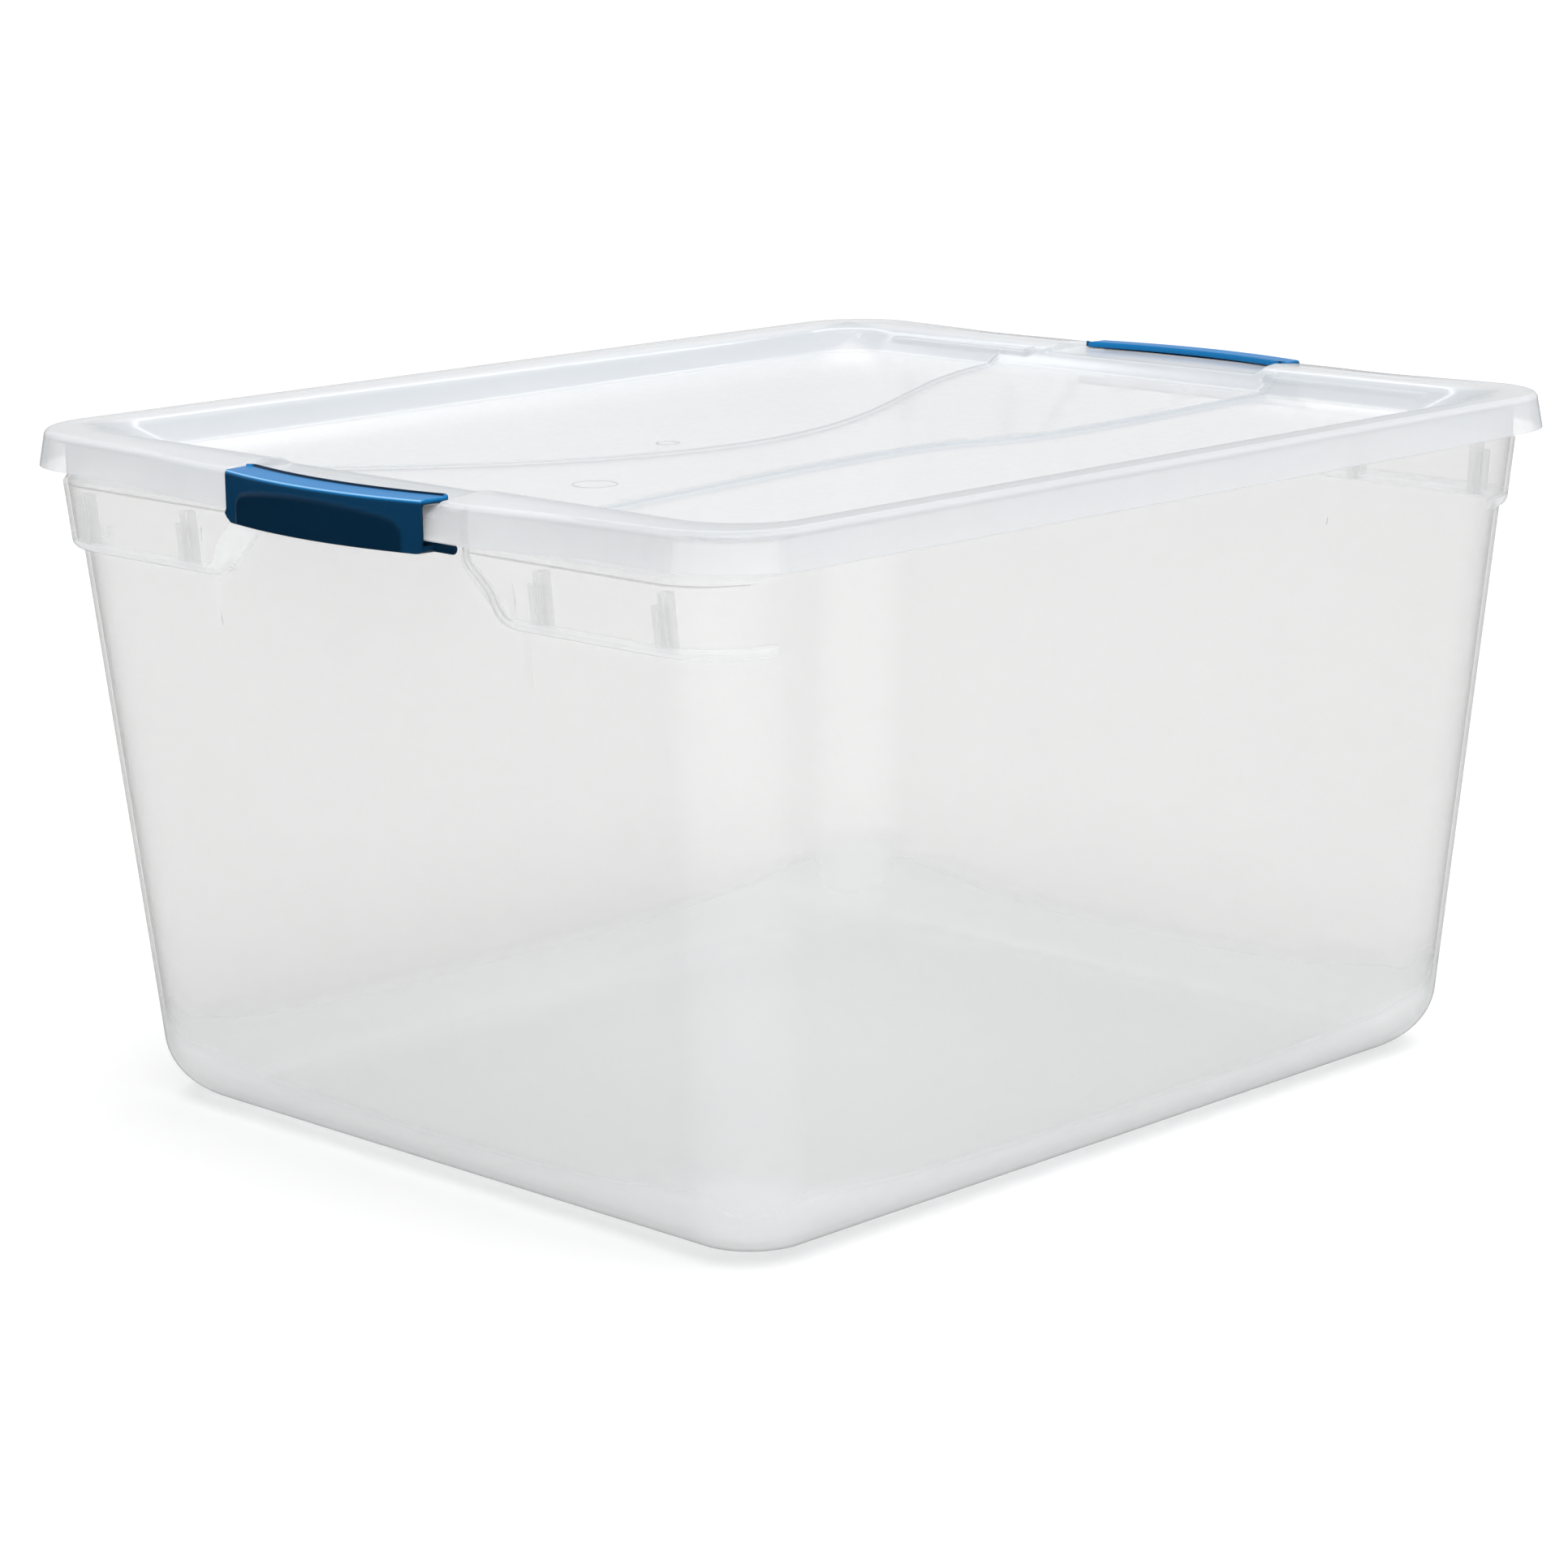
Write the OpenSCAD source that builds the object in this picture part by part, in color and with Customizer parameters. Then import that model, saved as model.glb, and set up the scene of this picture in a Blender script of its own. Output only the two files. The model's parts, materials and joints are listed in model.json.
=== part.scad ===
// Latching storage tote: a tapered tub, a press-on lid and two hinged latch handles.
// Millimetres, with +X along the length, +Y across and +Z up.
// The origin is the centre of the flat face that the tub rests on.

/* [Tub] */
// Length over the end walls, at the height of the lid's skirt
tub_len = 563.5; // [555:0.5:566]
// Width over the side walls, at the height of the lid's skirt
tub_wid = 456; // [440:0.5:458]
// Outward lean of the end walls, in mm for each mm of height
end_draft = 0.0985; // [0.06:0.0005:0.11]
// Outward lean of the side walls, in mm for each mm of height
side_draft = 0.0608; // [0.04:0.0004:0.08]
// Radius of the four upright corners
tub_corner = 36.6; // [30:0.2:40]
// Radius between the walls and the floor
base_round = 29.4; // [20:0.2:34]
// Thickness of the walls
wall = 2.2; // [1.8:0.1:2.6]
// Thickness of the floor
floor_thick = 2.4; // [2:0.1:3]

/* [Shoulders] */
// How far each corner shoulder stands out from the end wall
shoulder_proud = 6; // [4:0.25:6.5]
// Height of the ledge under the shoulders
shoulder_z = 272.5; // [268:0.5:278]
// Half width of the finger recess at the ledge
recess_low = 95; // [85:1:105]
// Half width of the finger recess under the rim
recess_high = 69; // [68.5:0.5:75]
// Height where the recess reaches its narrow width
recess_top = 297; // [292:0.5:299]

/* [Shoulder ribs] */
// Distance of the inner pair of ribs from the middle of the end wall
rib_inner_y = 118.5; // [112:0.5:125]
// Distance of the outer pair of ribs from the middle of the end wall
rib_outer_y = 193; // [180:1:195]
// Width of a rib
rib_wid = 8; // [6:0.5:14]
// Height of the top of a rib's low half
rib_low_top = 295; // [290:0.5:298]
// Height of the top of a rib's tall half
rib_tall_top = 301; // [299:0.5:304]

/* [Tub rim] */
// Height of the rim's top face
rim_top = 326.1; // [325.8:0.1:326.1]
// Length over the rim flange
rim_len = 573.2; // [571:0.2:573.4]
// Width over the rim flange
rim_wid = 475.2; // [470:0.2:475.4]
// Thickness of the rim flange
rim_thick = 2.2; // [1.8:0.1:2.6]
// Height where the wall steps in below the rim
rim_step_z = 306; // [305:0.2:307]

/* [Lid] */
// Length of the lid beside its corners, over the bottom of the skirt
lid_len = 585; // [585:0.2:587]
// Width of the lid, over the bottom of the skirt
lid_wid = 487; // [487:0.2:489]
// Outward bow of each end of the lid, around its latch
lid_bow = 5.6; // [5:0.1:5.8]
// Corner radius of the lid
lid_corner = 44.3; // [42:0.1:46]
// Height of the skirt's bottom edge
skirt_bottom = 309.4; // [308:0.2:311]
// Height of the lid's highest face
lid_top = 328.4; // [328.4:0.2:330]
// Thickness of the lid
lid_wall = 2; // [1.8:0.1:2]
// How much wider the skirt is at its bottom than at its top, on each side
skirt_flare = 2.5; // [2:0.1:2.6]
// Radius of the lid's top outer edge
lid_edge = 3.4; // [3:0.1:3.6]

/* [Lid panel] */
// Depth of the panel below the lid's highest face
panel_depth = 12; // [10:0.5:14]
// Width of the flat band along each side
band_side = 19; // [18:0.5:21]
// Width of the flat band along each end
band_end = 26; // [25:0.5:28]
// Horizontal run of the slope between the bands and the panel
riser_run = 22; // [18:1:26]
// Height of the raised swoosh between the two panel curves
swoosh_rise = 1.2; // [0.8:0.1:2]

/* [Latch seats] */
// Half width of the seat that a latch closes on
seat_half = 70; // [69:0.5:72]
// Height of the seat's face
seat_z = 324.3; // [323.5:0.1:324.3]
// Chamfer along the seat's outer edge
seat_chamfer = 3; // [2.6:0.1:3.2]

/* [Latches] */
// Length of a latch along the rim
latch_wid = 134; // [120:1:136]
// Outward bow of a latch over that length
latch_bow = 8; // [7:0.1:9]
// Distance of the latch's outermost face from the middle of the tote
latch_reach = 309; // [308.8:0.1:310]
// Thickness of the latch
latch_wall = 2.2; // [1.8:0.1:2.2]
// Height of the latch's top face
latch_top = 327; // [327:0.1:327.4]
// Depth of the flange that lies over the lid
hook_depth = 18; // [16:0.2:19]
// Height of the grip lip along the flange's inner edge
lip = 0.8; // [0.6:0.1:1]
// Width of the grip lip
lip_wid = 1.6; // [1.2:0.1:2]

/* [Hinge] */
// Distance of the hinge axis from the middle of the tote
hinge_x = 291; // [290.8:0.1:291.2]
// Height of the hinge axis
hinge_z = 305.8; // [305.6:0.1:306]
// Radius of the hinge rod
rod_r = 2.2; // [2:0.05:2.2]
// How far the rod runs past each end of the latch
rod_reach = 9; // [2:0.5:10]
// Running clearance between the rod and its clips
rod_gap = 0.05; // [0.03:0.01:0.08]
// Distance of the outer clips from the middle clip
clip_pitch = 42; // [38:1:46]
// Width of a clip along the rod
clip_wid = 6; // [5:0.5:8]
// Thickness of a clip around the rod
clip_wall = 1.95; // [1.6:0.05:2]
// Width of the mouth that the rod snaps in through
clip_mouth = 3.7; // [3.4:0.05:3.8]

/* [Hidden] */
$fn = 64;
latch_facets = 256;
corner_steps = 8;
turn_steps = 5;
// How far a cutting solid runs past what it cuts, and how far a joined solid runs into its neighbour
overlap = 1;
bite = 0.4;

// Heights and half sizes of the tub's walls
ref_z = skirt_bottom;
function tub_hx(z) = tub_len / 2 - end_draft * (ref_z - min(z, rim_step_z));
function tub_hy(z) = tub_wid / 2 - side_draft * (ref_z - min(z, rim_step_z));

// Shoulders: rounded ledge at shoulder_z, full depth up to the step below the rim
ledge_lead = 0.4;
ledge_round = 4;
step_run = 0.8;
rim_shoulder = 0.6 * shoulder_proud;
shoulder_turn = 6;
rim_corner = lid_corner - (lid_len - rim_len) / 2;
function recess_half(z) =
    recess_high
    + (recess_low - recess_high) * max(0, min(1, (recess_top - z) / (recess_top - shoulder_z)));

function smooth(t) = let (u = max(0, min(1, t))) u * u * (3 - 2 * u);
function arc(x, y, r, start) =
    [for (i = [0:corner_steps]) let (a = start + 90 * i / corner_steps) [x + r * cos(a), y + r * sin(a)]];
function turned(points) = [for (p = points) [-p.x, -p.y]];

// Half of a closed outline, round the +X end. The end stands out by corner_out beside the corners
// and by middle_out in the middle, and turns from one to the other at y = +-turn_y over turn_run.
function end_outline(hx, hy, r, corner_out, middle_out, turn_y, turn_run) = concat(
    arc(hx + corner_out - r, r - hy, r, -90),
    [for (i = [0:turn_steps]) let (t = i / turn_steps)
        [hx + corner_out + (middle_out - corner_out) * smooth(t), turn_run * (t - 0.5) - turn_y]],
    [for (i = [0:turn_steps]) let (t = i / turn_steps)
        [hx + middle_out + (corner_out - middle_out) * smooth(t), turn_run * (t - 0.5) + turn_y]],
    arc(hx + corner_out - r, hy - r, r, 0)
);
function outline(hx, hy, r, corner_out, middle_out, turn_y, turn_run) =
    let (half = end_outline(hx, hy, r, corner_out, middle_out, turn_y, turn_run))
    concat(half, turned(half));
function plain_outline(hx, hy, r) = outline(hx, hy, r, 0, 0, hy / 2, hy / 4);

// Closed solid through a stack of outlines, each given as [height, points]
module loft(levels) {
    n = len(levels[0][1]);
    top = (len(levels) - 1) * n;
    polyhedron(
        points = [for (level = levels) for (p = level[1]) [p.x, p.y, level[0]]],
        faces = concat(
            [[for (i = [0:n - 1]) i]],
            [[for (i = [n - 1:-1:0]) top + i]],
            [for (j = [0:len(levels) - 2]) for (i = [0:n - 1])
                let (a = j * n + i, b = j * n + (i + 1) % n) each [[a, a + n, b + n], [a, b + n, b]]]
        )
    );
}

module both_ends() {
    children();
    rotate([0, 0, 180]) children();
}

// One level of the tub's surface, moved inwards by inset, with the shoulders out by proud
function tub_level(z, inset, proud, shrink = 0) = [
    z,
    outline(tub_hx(z) - inset - shrink, tub_hy(z) - inset - shrink, tub_corner - inset - shrink / 2,
        proud, 0, recess_half(z - inset) + inset, shoulder_turn)
];
// Levels through the round between floor and wall, of radius r, starting at height z0
function base_levels(z0, r, inset) =
    [for (a = [90:-18:0]) tub_level(z0 + r * (1 - sin(a)), inset, 0, r * (1 - cos(a)))];
// Levels from the ledge up to the step below the rim
function shoulder_levels(inset) = concat(
    [tub_level(shoulder_z - ledge_lead + inset, inset, 0)],
    [for (a = [0:30:90]) tub_level(
        shoulder_z + inset + ledge_round * (1 - cos(a)), inset,
        shoulder_proud - ledge_round * (1 - sin(a)))],
    [for (t = [0.25:0.25:1]) tub_level(
        shoulder_z + inset + ledge_round + (recess_top - shoulder_z - ledge_round) * t, inset,
        shoulder_proud)],
    [tub_level(rim_step_z + ledge_lead / 2 - step_run, inset, shoulder_proud),
        tub_level(rim_step_z + ledge_lead / 2, inset, rim_shoulder)]
);

module tub_outside() {
    flange = outline(rim_len / 2, rim_wid / 2, rim_corner, 0, 0, recess_high, shoulder_turn);
    loft(concat(
        base_levels(0, base_round, 0),
        shoulder_levels(0),
        [tub_level(rim_top - rim_thick, 0, rim_shoulder), [rim_top - rim_thick, flange], [rim_top, flange]]
    ));
}
module tub_inside() {
    loft(concat(
        base_levels(floor_thick, base_round - wall, wall),
        shoulder_levels(wall),
        [tub_level(rim_top + overlap, wall, rim_shoulder)]
    ));
}

// The rim dips under each latch seat
rim_dip_gap = 3;
rim_dip_half = seat_half + lid_wall + rim_dip_gap;
rim_dip_z = seat_z - lid_wall - bite;
module rim_dip() {
    start = tub_hx(0) - tub_corner;
    translate([start, -rim_dip_half, rim_dip_z])
        cube([rim_len / 2 + overlap - start, 2 * rim_dip_half, rim_top + overlap - rim_dip_z]);
}
module rim_dip_flange() {
    inner = tub_hx(rim_top) - wall / 2;
    translate([inner, -rim_dip_half - overlap, rim_dip_z - rim_thick])
        cube([rim_len / 2 - inner, 2 * (rim_dip_half + overlap), rim_thick]);
}

// A rib inside a shoulder, from the ledge up, with its inner face in line with the wall below
rib_join = 0.1;
module half_rib(y, top) {
    foot = shoulder_z + wall / 2;
    inner = wall - bite;
    outer = shoulder_proud - wall / 2;
    translate([0, y, 0]) rotate([90, 0, 0]) linear_extrude(height = rib_wid / 2, center = true)
        polygon([
            [tub_hx(foot) - inner, foot], [tub_hx(foot) + outer - ledge_round / 2, foot],
            [tub_hx(foot + ledge_round) + outer, foot + ledge_round],
            [tub_hx(top) + outer, top], [tub_hx(top) - inner, top]
        ]);
}
module shoulder_ribs() {
    for (y = [-rib_outer_y, -rib_inner_y, rib_inner_y, rib_outer_y]) {
        half_rib(y - rib_wid / 4, rib_low_top);
        half_rib(y + rib_wid / 4 - rib_join, rib_tall_top);
    }
}

// Snap clip that holds the latch's rod, hanging from the rim flange
clip_r = rod_r + clip_wall;
module clip(y) {
    root_x = tub_hx(hinge_z) - wall / 2;
    translate([0, y, 0]) difference() {
        union() {
            translate([hinge_x, 0, hinge_z]) rotate([90, 0, 0])
                cylinder(r = clip_r, h = clip_wid, center = true);
            translate([root_x, -clip_wid / 2, hinge_z - clip_r])
                cube([hinge_x - root_x, clip_wid, rim_dip_z - rim_thick / 2 - hinge_z + clip_r]);
        }
        translate([hinge_x, 0, hinge_z]) rotate([90, 0, 0])
            cylinder(r = rod_r + rod_gap, h = clip_wid + 2 * overlap, center = true);
        translate([hinge_x - clip_mouth / 2, -clip_wid / 2 - overlap, hinge_z - 2 * clip_r])
            cube([clip_mouth, clip_wid + 2 * overlap, 2 * clip_r]);
    }
}

module tub() {
    color([0.9, 0.92, 0.94, 0.35]) {
        difference() {
            union() {
                difference() {
                    tub_outside();
                    both_ends() rim_dip();
                }
                both_ends() rim_dip_flange();
            }
            tub_inside();
        }
        both_ends() {
            shoulder_ribs();
            for (i = [-1:1]) clip(i * clip_pitch);
        }
    }
}

// The lid's skirt turns outwards towards the latches between these distances from the middle
bow_turn_y = 112;
bow_turn_run = 55;
// Height and run of the bevel between the inside of the skirt and the lid's ceiling
inner_edge = 2;
inner_run = 1;
// How far the skirt leans in for each mm of height
skirt_lean = skirt_flare / (lid_top - lid_edge - skirt_bottom);
function skirt_inside(z) = lid_wall + skirt_lean * (z - skirt_bottom);
function lid_level(z, inset) = [
    z,
    outline(lid_len / 2 - inset, lid_wid / 2 - inset, lid_corner - inset,
        0, lid_bow, bow_turn_y, bow_turn_run)
];
module lid_outside() {
    loft(concat(
        [lid_level(skirt_bottom, 0)],
        [for (a = [0:22.5:90]) lid_level(
            lid_top - lid_edge * (1 - sin(a)), skirt_flare + lid_edge * (1 - cos(a)))]
    ));
}
module lid_inside() {
    ceiling = lid_top - lid_wall;
    loft([
        lid_level(skirt_bottom - overlap, skirt_inside(skirt_bottom - overlap)),
        lid_level(ceiling - inner_edge, skirt_inside(ceiling - inner_edge)),
        lid_level(ceiling, skirt_inside(ceiling) + inner_run)
    ]);
}

// The pocket above the panel: depth below the lid's top face sets its half size
panel_z = lid_top - panel_depth;
pocket_x = lid_len / 2 - skirt_flare - band_end;
pocket_y = lid_wid / 2 - skirt_flare - band_side;
pocket_corner = 34;
function pocket_level(z, shift) =
    let (s = riser_run * (lid_top - z - shift) / panel_depth)
    [z, plain_outline(pocket_x - s, pocket_y - s, pocket_corner - s / 2)];
module pocket() {
    loft([pocket_level(panel_z, 0), pocket_level(lid_top + overlap, 0)]);
}
module pocket_skin() {
    drop = lid_wall / cos(atan(panel_depth / riser_run));
    loft([pocket_level(panel_z - lid_wall, drop), pocket_level(lid_top, drop)]);
}

// Space over a latch seat, larger by grow on the seat's sides and lower by grow
module seat(grow) {
    start = pocket_x - riser_run;
    length = lid_len / 2 + lid_bow + overlap - start;
    translate([start, -seat_half - grow, seat_z - grow])
        cube([length, 2 * (seat_half + grow), lid_top - seat_z + grow + overlap]);
}
module seat_bevel() {
    edge = lid_len / 2 + lid_bow - skirt_lean * (seat_z - skirt_bottom);
    rotate([90, 0, 0]) linear_extrude(height = 2 * seat_half, center = true)
        polygon([
            [edge - seat_chamfer, seat_z], [edge + seat_chamfer, seat_z - 2 * seat_chamfer],
            [edge + seat_chamfer, seat_z + overlap], [edge - seat_chamfer, seat_z + overlap]
        ]);
}

// The two curves across the panel, as cubic Bezier curves
function bezier(p, t) =
    pow(1 - t, 3) * p[0] + 3 * pow(1 - t, 2) * t * p[1] + 3 * (1 - t) * t * t * p[2] + pow(t, 3) * p[3];
curve_steps = 24;
back_curve = [[-242, 103], [-28, -126], [93, 72], [242, 98]];
front_curve = [[-242, -99], [192, -42], [-120, -122], [242, -86]];
module swoosh() {
    translate([0, 0, panel_z - lid_wall / 2]) linear_extrude(height = swoosh_rise + lid_wall / 2)
        polygon(concat(
            [for (i = [0:curve_steps]) bezier(front_curve, i / curve_steps)],
            [for (i = [curve_steps:-1:0]) bezier(back_curve, i / curve_steps)]
        ));
}

module lid() {
    color([0.93, 0.95, 0.97, 0.4]) {
        difference() {
            lid_outside();
            pocket();
            both_ends() {
                seat(0);
                seat_bevel();
            }
            difference() {
                lid_inside();
                pocket_skin();
                both_ends() seat(lid_wall);
            }
        }
        swoosh();
    }
}

// The latch's plan is an arc through its two ends and its middle
latch_r = (pow(latch_wid / 2, 2) + pow(latch_bow, 2)) / (2 * latch_bow);
latch_bottom = hinge_z - rod_r;
module latch_disk(inset, z, h) {
    translate([latch_reach - latch_r, 0, z]) cylinder(r = latch_r - inset, h = h, $fn = latch_facets);
}
module latch_ring(outer, inner, z, h) {
    difference() {
        latch_disk(outer, z, h);
        latch_disk(inner, z - overlap, h + 2 * overlap);
    }
}
// What lies past x, between the latch's two ends
module latch_span(x) {
    translate([x, -latch_wid / 2, latch_bottom - overlap])
        cube([latch_reach, latch_wid, latch_top + lip - latch_bottom + 2 * overlap]);
}
// The bottom flange reaches in to the rod, and is open round each clip
notch_gap = 0.8;
module bottom_flange() {
    notch_wid = clip_wid + 2 * notch_gap;
    difference() {
        intersection() {
            latch_disk(0, latch_bottom, rod_r);
            latch_span(hinge_x);
        }
        for (i = [-1:1])
            translate([hinge_x - overlap, i * clip_pitch - notch_wid / 2, latch_bottom - overlap])
                cube([clip_r + 2 * overlap, notch_wid, rod_r + 2 * overlap]);
    }
}
module latch() {
    color([0.05, 0.2, 0.38]) {
        intersection() {
            union() {
                latch_ring(0, latch_wall, latch_bottom, latch_top - latch_bottom);
                latch_ring(0, hook_depth, latch_top - latch_wall, latch_wall);
                latch_ring(hook_depth - lip_wid, hook_depth, latch_top - latch_wall, latch_wall + lip);
            }
            latch_span(latch_reach / 2);
        }
        bottom_flange();
        translate([hinge_x, 0, hinge_z]) rotate([90, 0, 0])
            cylinder(r = rod_r, h = latch_wid + 2 * rod_reach, center = true);
    }
}
module latch_front() {
    rotate([0, 0, 180]) latch();
}
module latch_back() {
    latch();
}

tub();
lid();
latch_front();
latch_back();
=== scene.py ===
"""Latching storage tote: clear tub and lid, and two blue latches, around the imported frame.

Shapes are worked out in millimetres and turned into metres when a mesh is made.
"""
import json
import math

import bmesh
import bpy
import numpy as np
from mathutils import Matrix, Vector
from mathutils.geometry import delaunay_2d_cdt


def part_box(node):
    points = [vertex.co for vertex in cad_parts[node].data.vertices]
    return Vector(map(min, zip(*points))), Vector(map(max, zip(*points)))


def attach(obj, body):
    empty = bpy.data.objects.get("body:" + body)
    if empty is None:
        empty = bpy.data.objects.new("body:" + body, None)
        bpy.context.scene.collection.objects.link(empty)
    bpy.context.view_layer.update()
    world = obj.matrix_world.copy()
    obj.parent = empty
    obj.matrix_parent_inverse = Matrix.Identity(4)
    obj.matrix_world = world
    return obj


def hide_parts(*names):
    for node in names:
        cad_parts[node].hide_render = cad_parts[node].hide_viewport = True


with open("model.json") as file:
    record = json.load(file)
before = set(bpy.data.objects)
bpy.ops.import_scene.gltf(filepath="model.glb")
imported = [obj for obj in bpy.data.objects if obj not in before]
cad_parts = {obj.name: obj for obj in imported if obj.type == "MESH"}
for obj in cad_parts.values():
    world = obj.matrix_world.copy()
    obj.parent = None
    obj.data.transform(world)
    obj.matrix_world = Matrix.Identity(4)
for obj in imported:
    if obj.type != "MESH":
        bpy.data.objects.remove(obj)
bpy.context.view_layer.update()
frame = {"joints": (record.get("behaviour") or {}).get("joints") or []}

MM = 0.001
TUB_HIGH = np.array(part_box("tub")[1]) / MM
LID_LOW, LID_HIGH = (np.array(corner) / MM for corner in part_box("lid"))
LATCH_LOW, LATCH_HIGH = (np.array(corner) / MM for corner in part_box("latch_back"))
HINGE = next(j for j in frame["joints"] if j["name"] == "latch_back_hinge")
HINGE_X, HINGE_Z = HINGE["pos_m"][0] / MM, HINGE["pos_m"][2] / MM

# Tub: walls, round floor edge and rim. A STEPS line gives the steps along an end, a side and a corner.
WALL = 2.2
TUB_HALF_X, TUB_HALF_Y = 281.75, 228.0
END_DRAFT, SIDE_DRAFT = 0.0985, 0.0608
CORNER_R = 36.6
BASE_R = 29.4
RIM_TOP = TUB_HIGH[2]
RIM_HALF_X, RIM_HALF_Y = 286.6, TUB_HIGH[1]
RIM_CORNER = 38.4
RIM_EDGE = 0.9
RIM_DIP, RIM_DIP_HALF, RIM_DIP_EDGE = 4.2, 79.5, 5.0
RIM_FADE_LOW, RIM_FADE_RUN = 307.0, 15.0
TUB_STEPS = (200, 48, 16)
BASE_STEPS = 19

# Heights between which the tub's loops lie evenly, and how many there are in each stretch
TUB_SPANS = ((BASE_R, 245.5, 22), (245.5, 250.5, 10), (250.5, 268, 8), (268, 280, 24), (280, 304.5, 20),
             (304.5, 307, 8), (307, 321, 7))
# Loops from the wall out to the rim's edge: share of the way, and height above the rim's underside
RIM_LOOPS = ((0.12, -1.4), (0.25, -0.5), (0.45, 0.0), (0.7, 0.0), (1.0, 0.0))

# Shoulders beside each end's finger recess, and the ribs behind them
PROUD, RIM_PROUD = 6.0, 3.6
LEDGE_Z, STEP_Z = 272.5, 306.0
RECESS_LOW, RECESS_HIGH, RECESS_TOP = 95.0, 69.0, 297.0
BEND_R = 10.0
LEDGE_RUN, CHEEK_RUN = 4.4, 10.0
CHEEK_LOW, CHEEK_RISE = 2.0, 15.0
STEP_START, STEP_RUN = 1.6, 2.6
END_X, END_FADE = 236.0, 16.0
FOLD_LEAD, FOLD_SHARE = 0.12, 0.25
RIB_WIDTH = 8.0
RIB_TOPS = (295.0, 301.0)
RIB_PLACES = (118.5, 193.0)
RIB_FOOT, RIB_KNEE, RIB_SLANT, RIB_BURIED = 0.8, 4.0, 2.5, 0.4
RIB_OVERLAP, RIB_BEVEL = 0.3, 0.5
# Edges of ribs and clips that turn by more than this, in radians, are rounded
SHARP_ANGLE = 0.6

# Faint sunk plate in each end wall: half width, lowest height, depth, edge and fade at the recess
PLATE_HALF, PLATE_LOW, PLATE_DEPTH = 104.0, 248.0, 0.35
PLATE_EDGE, PLATE_FADE = 1.2, 5.0

# Extra plastic looked through in the tub's floor edge, ledges, rim and fittings, and how pale it looks:
# whiter for thick milky plastic and partly painted light, with a painted highlight on the ledges and the
# floor edge, and ribs and clips painted near white against their shade
HAZE_CORNER, HAZE_RISE, HAZE_SPREAD, HAZE_EDGE = 40.0, 20.0, 50.0, 12.0
FOLD_X, FOLD_PAST, FOLD_EDGE, RIM_HAZE_RUN = 240.0, 0.15, 0.2, 1.5
EDGE_PLASTIC, FOLD_PLASTIC, RIM_PLASTIC, FITTING_THICKNESS = 0.9, 1.4, 1.2, 1.8
FOLD_PALE_HIGHLIGHT, EDGE_PALE_HIGHLIGHT = 0.8, 0.5

# Lid: skirt, band, pocket and panel
SKIRT_Z = LID_LOW[2]
SKIRT_HALF_X, SKIRT_HALF_Y = 292.5, LID_HIGH[1]
SKIRT_RISE, SKIRT_RISE_START, SKIRT_RISE_RUN = 2.0, 90.0, 90.0
END_DIP, DIP_START, DIP_RUN = 1.9, 80.0, 150.0
DIP_X, DIP_X_RUN = 262.0, 24.0
LID_BOW = LID_HIGH[0] - SKIRT_HALF_X
BOW_TURN, BOW_RUN, BOW_X = 112.0, 55.0, 220.0
LID_CORNER = 44.3
LID_TOP = LID_HIGH[2]
LID_WALL, WELD, EDGE_BEVEL, EDGE_BEVEL_ANGLE = 2.0, 0.02, 0.5, 65.0
FLARE = 2.5
EDGE_R = 3.4
POCKET_X, POCKET_Y, POCKET_CORNER = 264.0, 222.0, 34.0
RISER_RUN, BAND_INSET, FOOT_RUN = 22.0, 9.0, 3.0
SLOPE_ROUNDS, SLOPE_PITCH = (8.0, 2.5), 0.9
PANEL_Z = 316.4
SEAT_HALF, SEAT_Z, SEAT_EDGE = 70.0, 324.3, 3.0
SEAT_X, SEAT_BEVEL_X = 238.0, 291.5
LID_STEPS = (220, 60, 36)
SKIRT_LOOPS, EDGE_LOOPS, BAND_LOOPS = 25, 9, 11
# Shares of an end's straight part where the seat and the beads begin, which need closer points
LID_FINE = (0.362, 0.425)
BACK_POINTS = ((-242, 103), (-28, -126), (93, 72), (242, 98))
FRONT_POINTS = ((-242, -99), (192, -42), (-120, -122), (242, -86))
SWOOSH_RISE, SWOOSH_RUN = 1.2, 1.6
RIDGE_RISE, RIDGE_IN = 0.3, 1.2
FADE_RISE = 8.0
CURVE_STEPS, CURVE_TAIL = 90, 30
CURVE_REACH, CURVE_LINES, LINE_GAP = 2.4, 15, 1.2
PANEL_PITCH, PANEL_GAP, CURVE_GAP = 9.0, 4.0, 5.5

# Small things moulded in the lid: corner pads, beads on the end slopes and rings on the panel
PAD_ANGLE, PAD_HALF, PAD_TOP, PAD_PROUD, PAD_ROUND = 41.5, 25.0, 325.8, 0.35, 4.0
PAD_EDGE, OFF_PAD = 0.9, -10.0
BEAD_RUN, BEAD_HALF, BEAD_RISE = 10.0, 3.0, 0.9
BEAD_START, BEAD_END, BEAD_FADE_IN, BEAD_FADE_OUT = 81.0, 180.0, 3.0, 4.0
NUB_R, NUB_RISE, NUB_OUT = 4.5, 2.2, 1.0
RINGS = ((-181.0, -46.0, 10.0), (-67.0, 25.0, 5.5))
RING_BEAD, RING_FLATTEN, RING_STEPS, RING_SIDES, RING_THICKNESS = 0.45, 0.7, 40, 8, 2.0

# Plastic looked through in the lid's band, panel, folds, slopes and pads, which on the lid also paints
# shade: a grey band and skirt, darker slopes and dark lines along the swoosh's folds; and how pale the
# pads are
LID_PLASTIC, PANEL_LESS, FOLD_HAZE_AND_SHADE, SLOPE_HAZE_AND_SHADE, PAD_MORE = 1.25, 0.4, 3.2, 1.1, 0.3
FOLD_HALF, BACK_FOLD_IN, SLOPE_FADE_IN, SLOPE_FADE_OUT = 1.3, 1.0, 3.0, 4.0
PAD_PALE, PAD_PALE_EDGE = 0.6, 3.0

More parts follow.
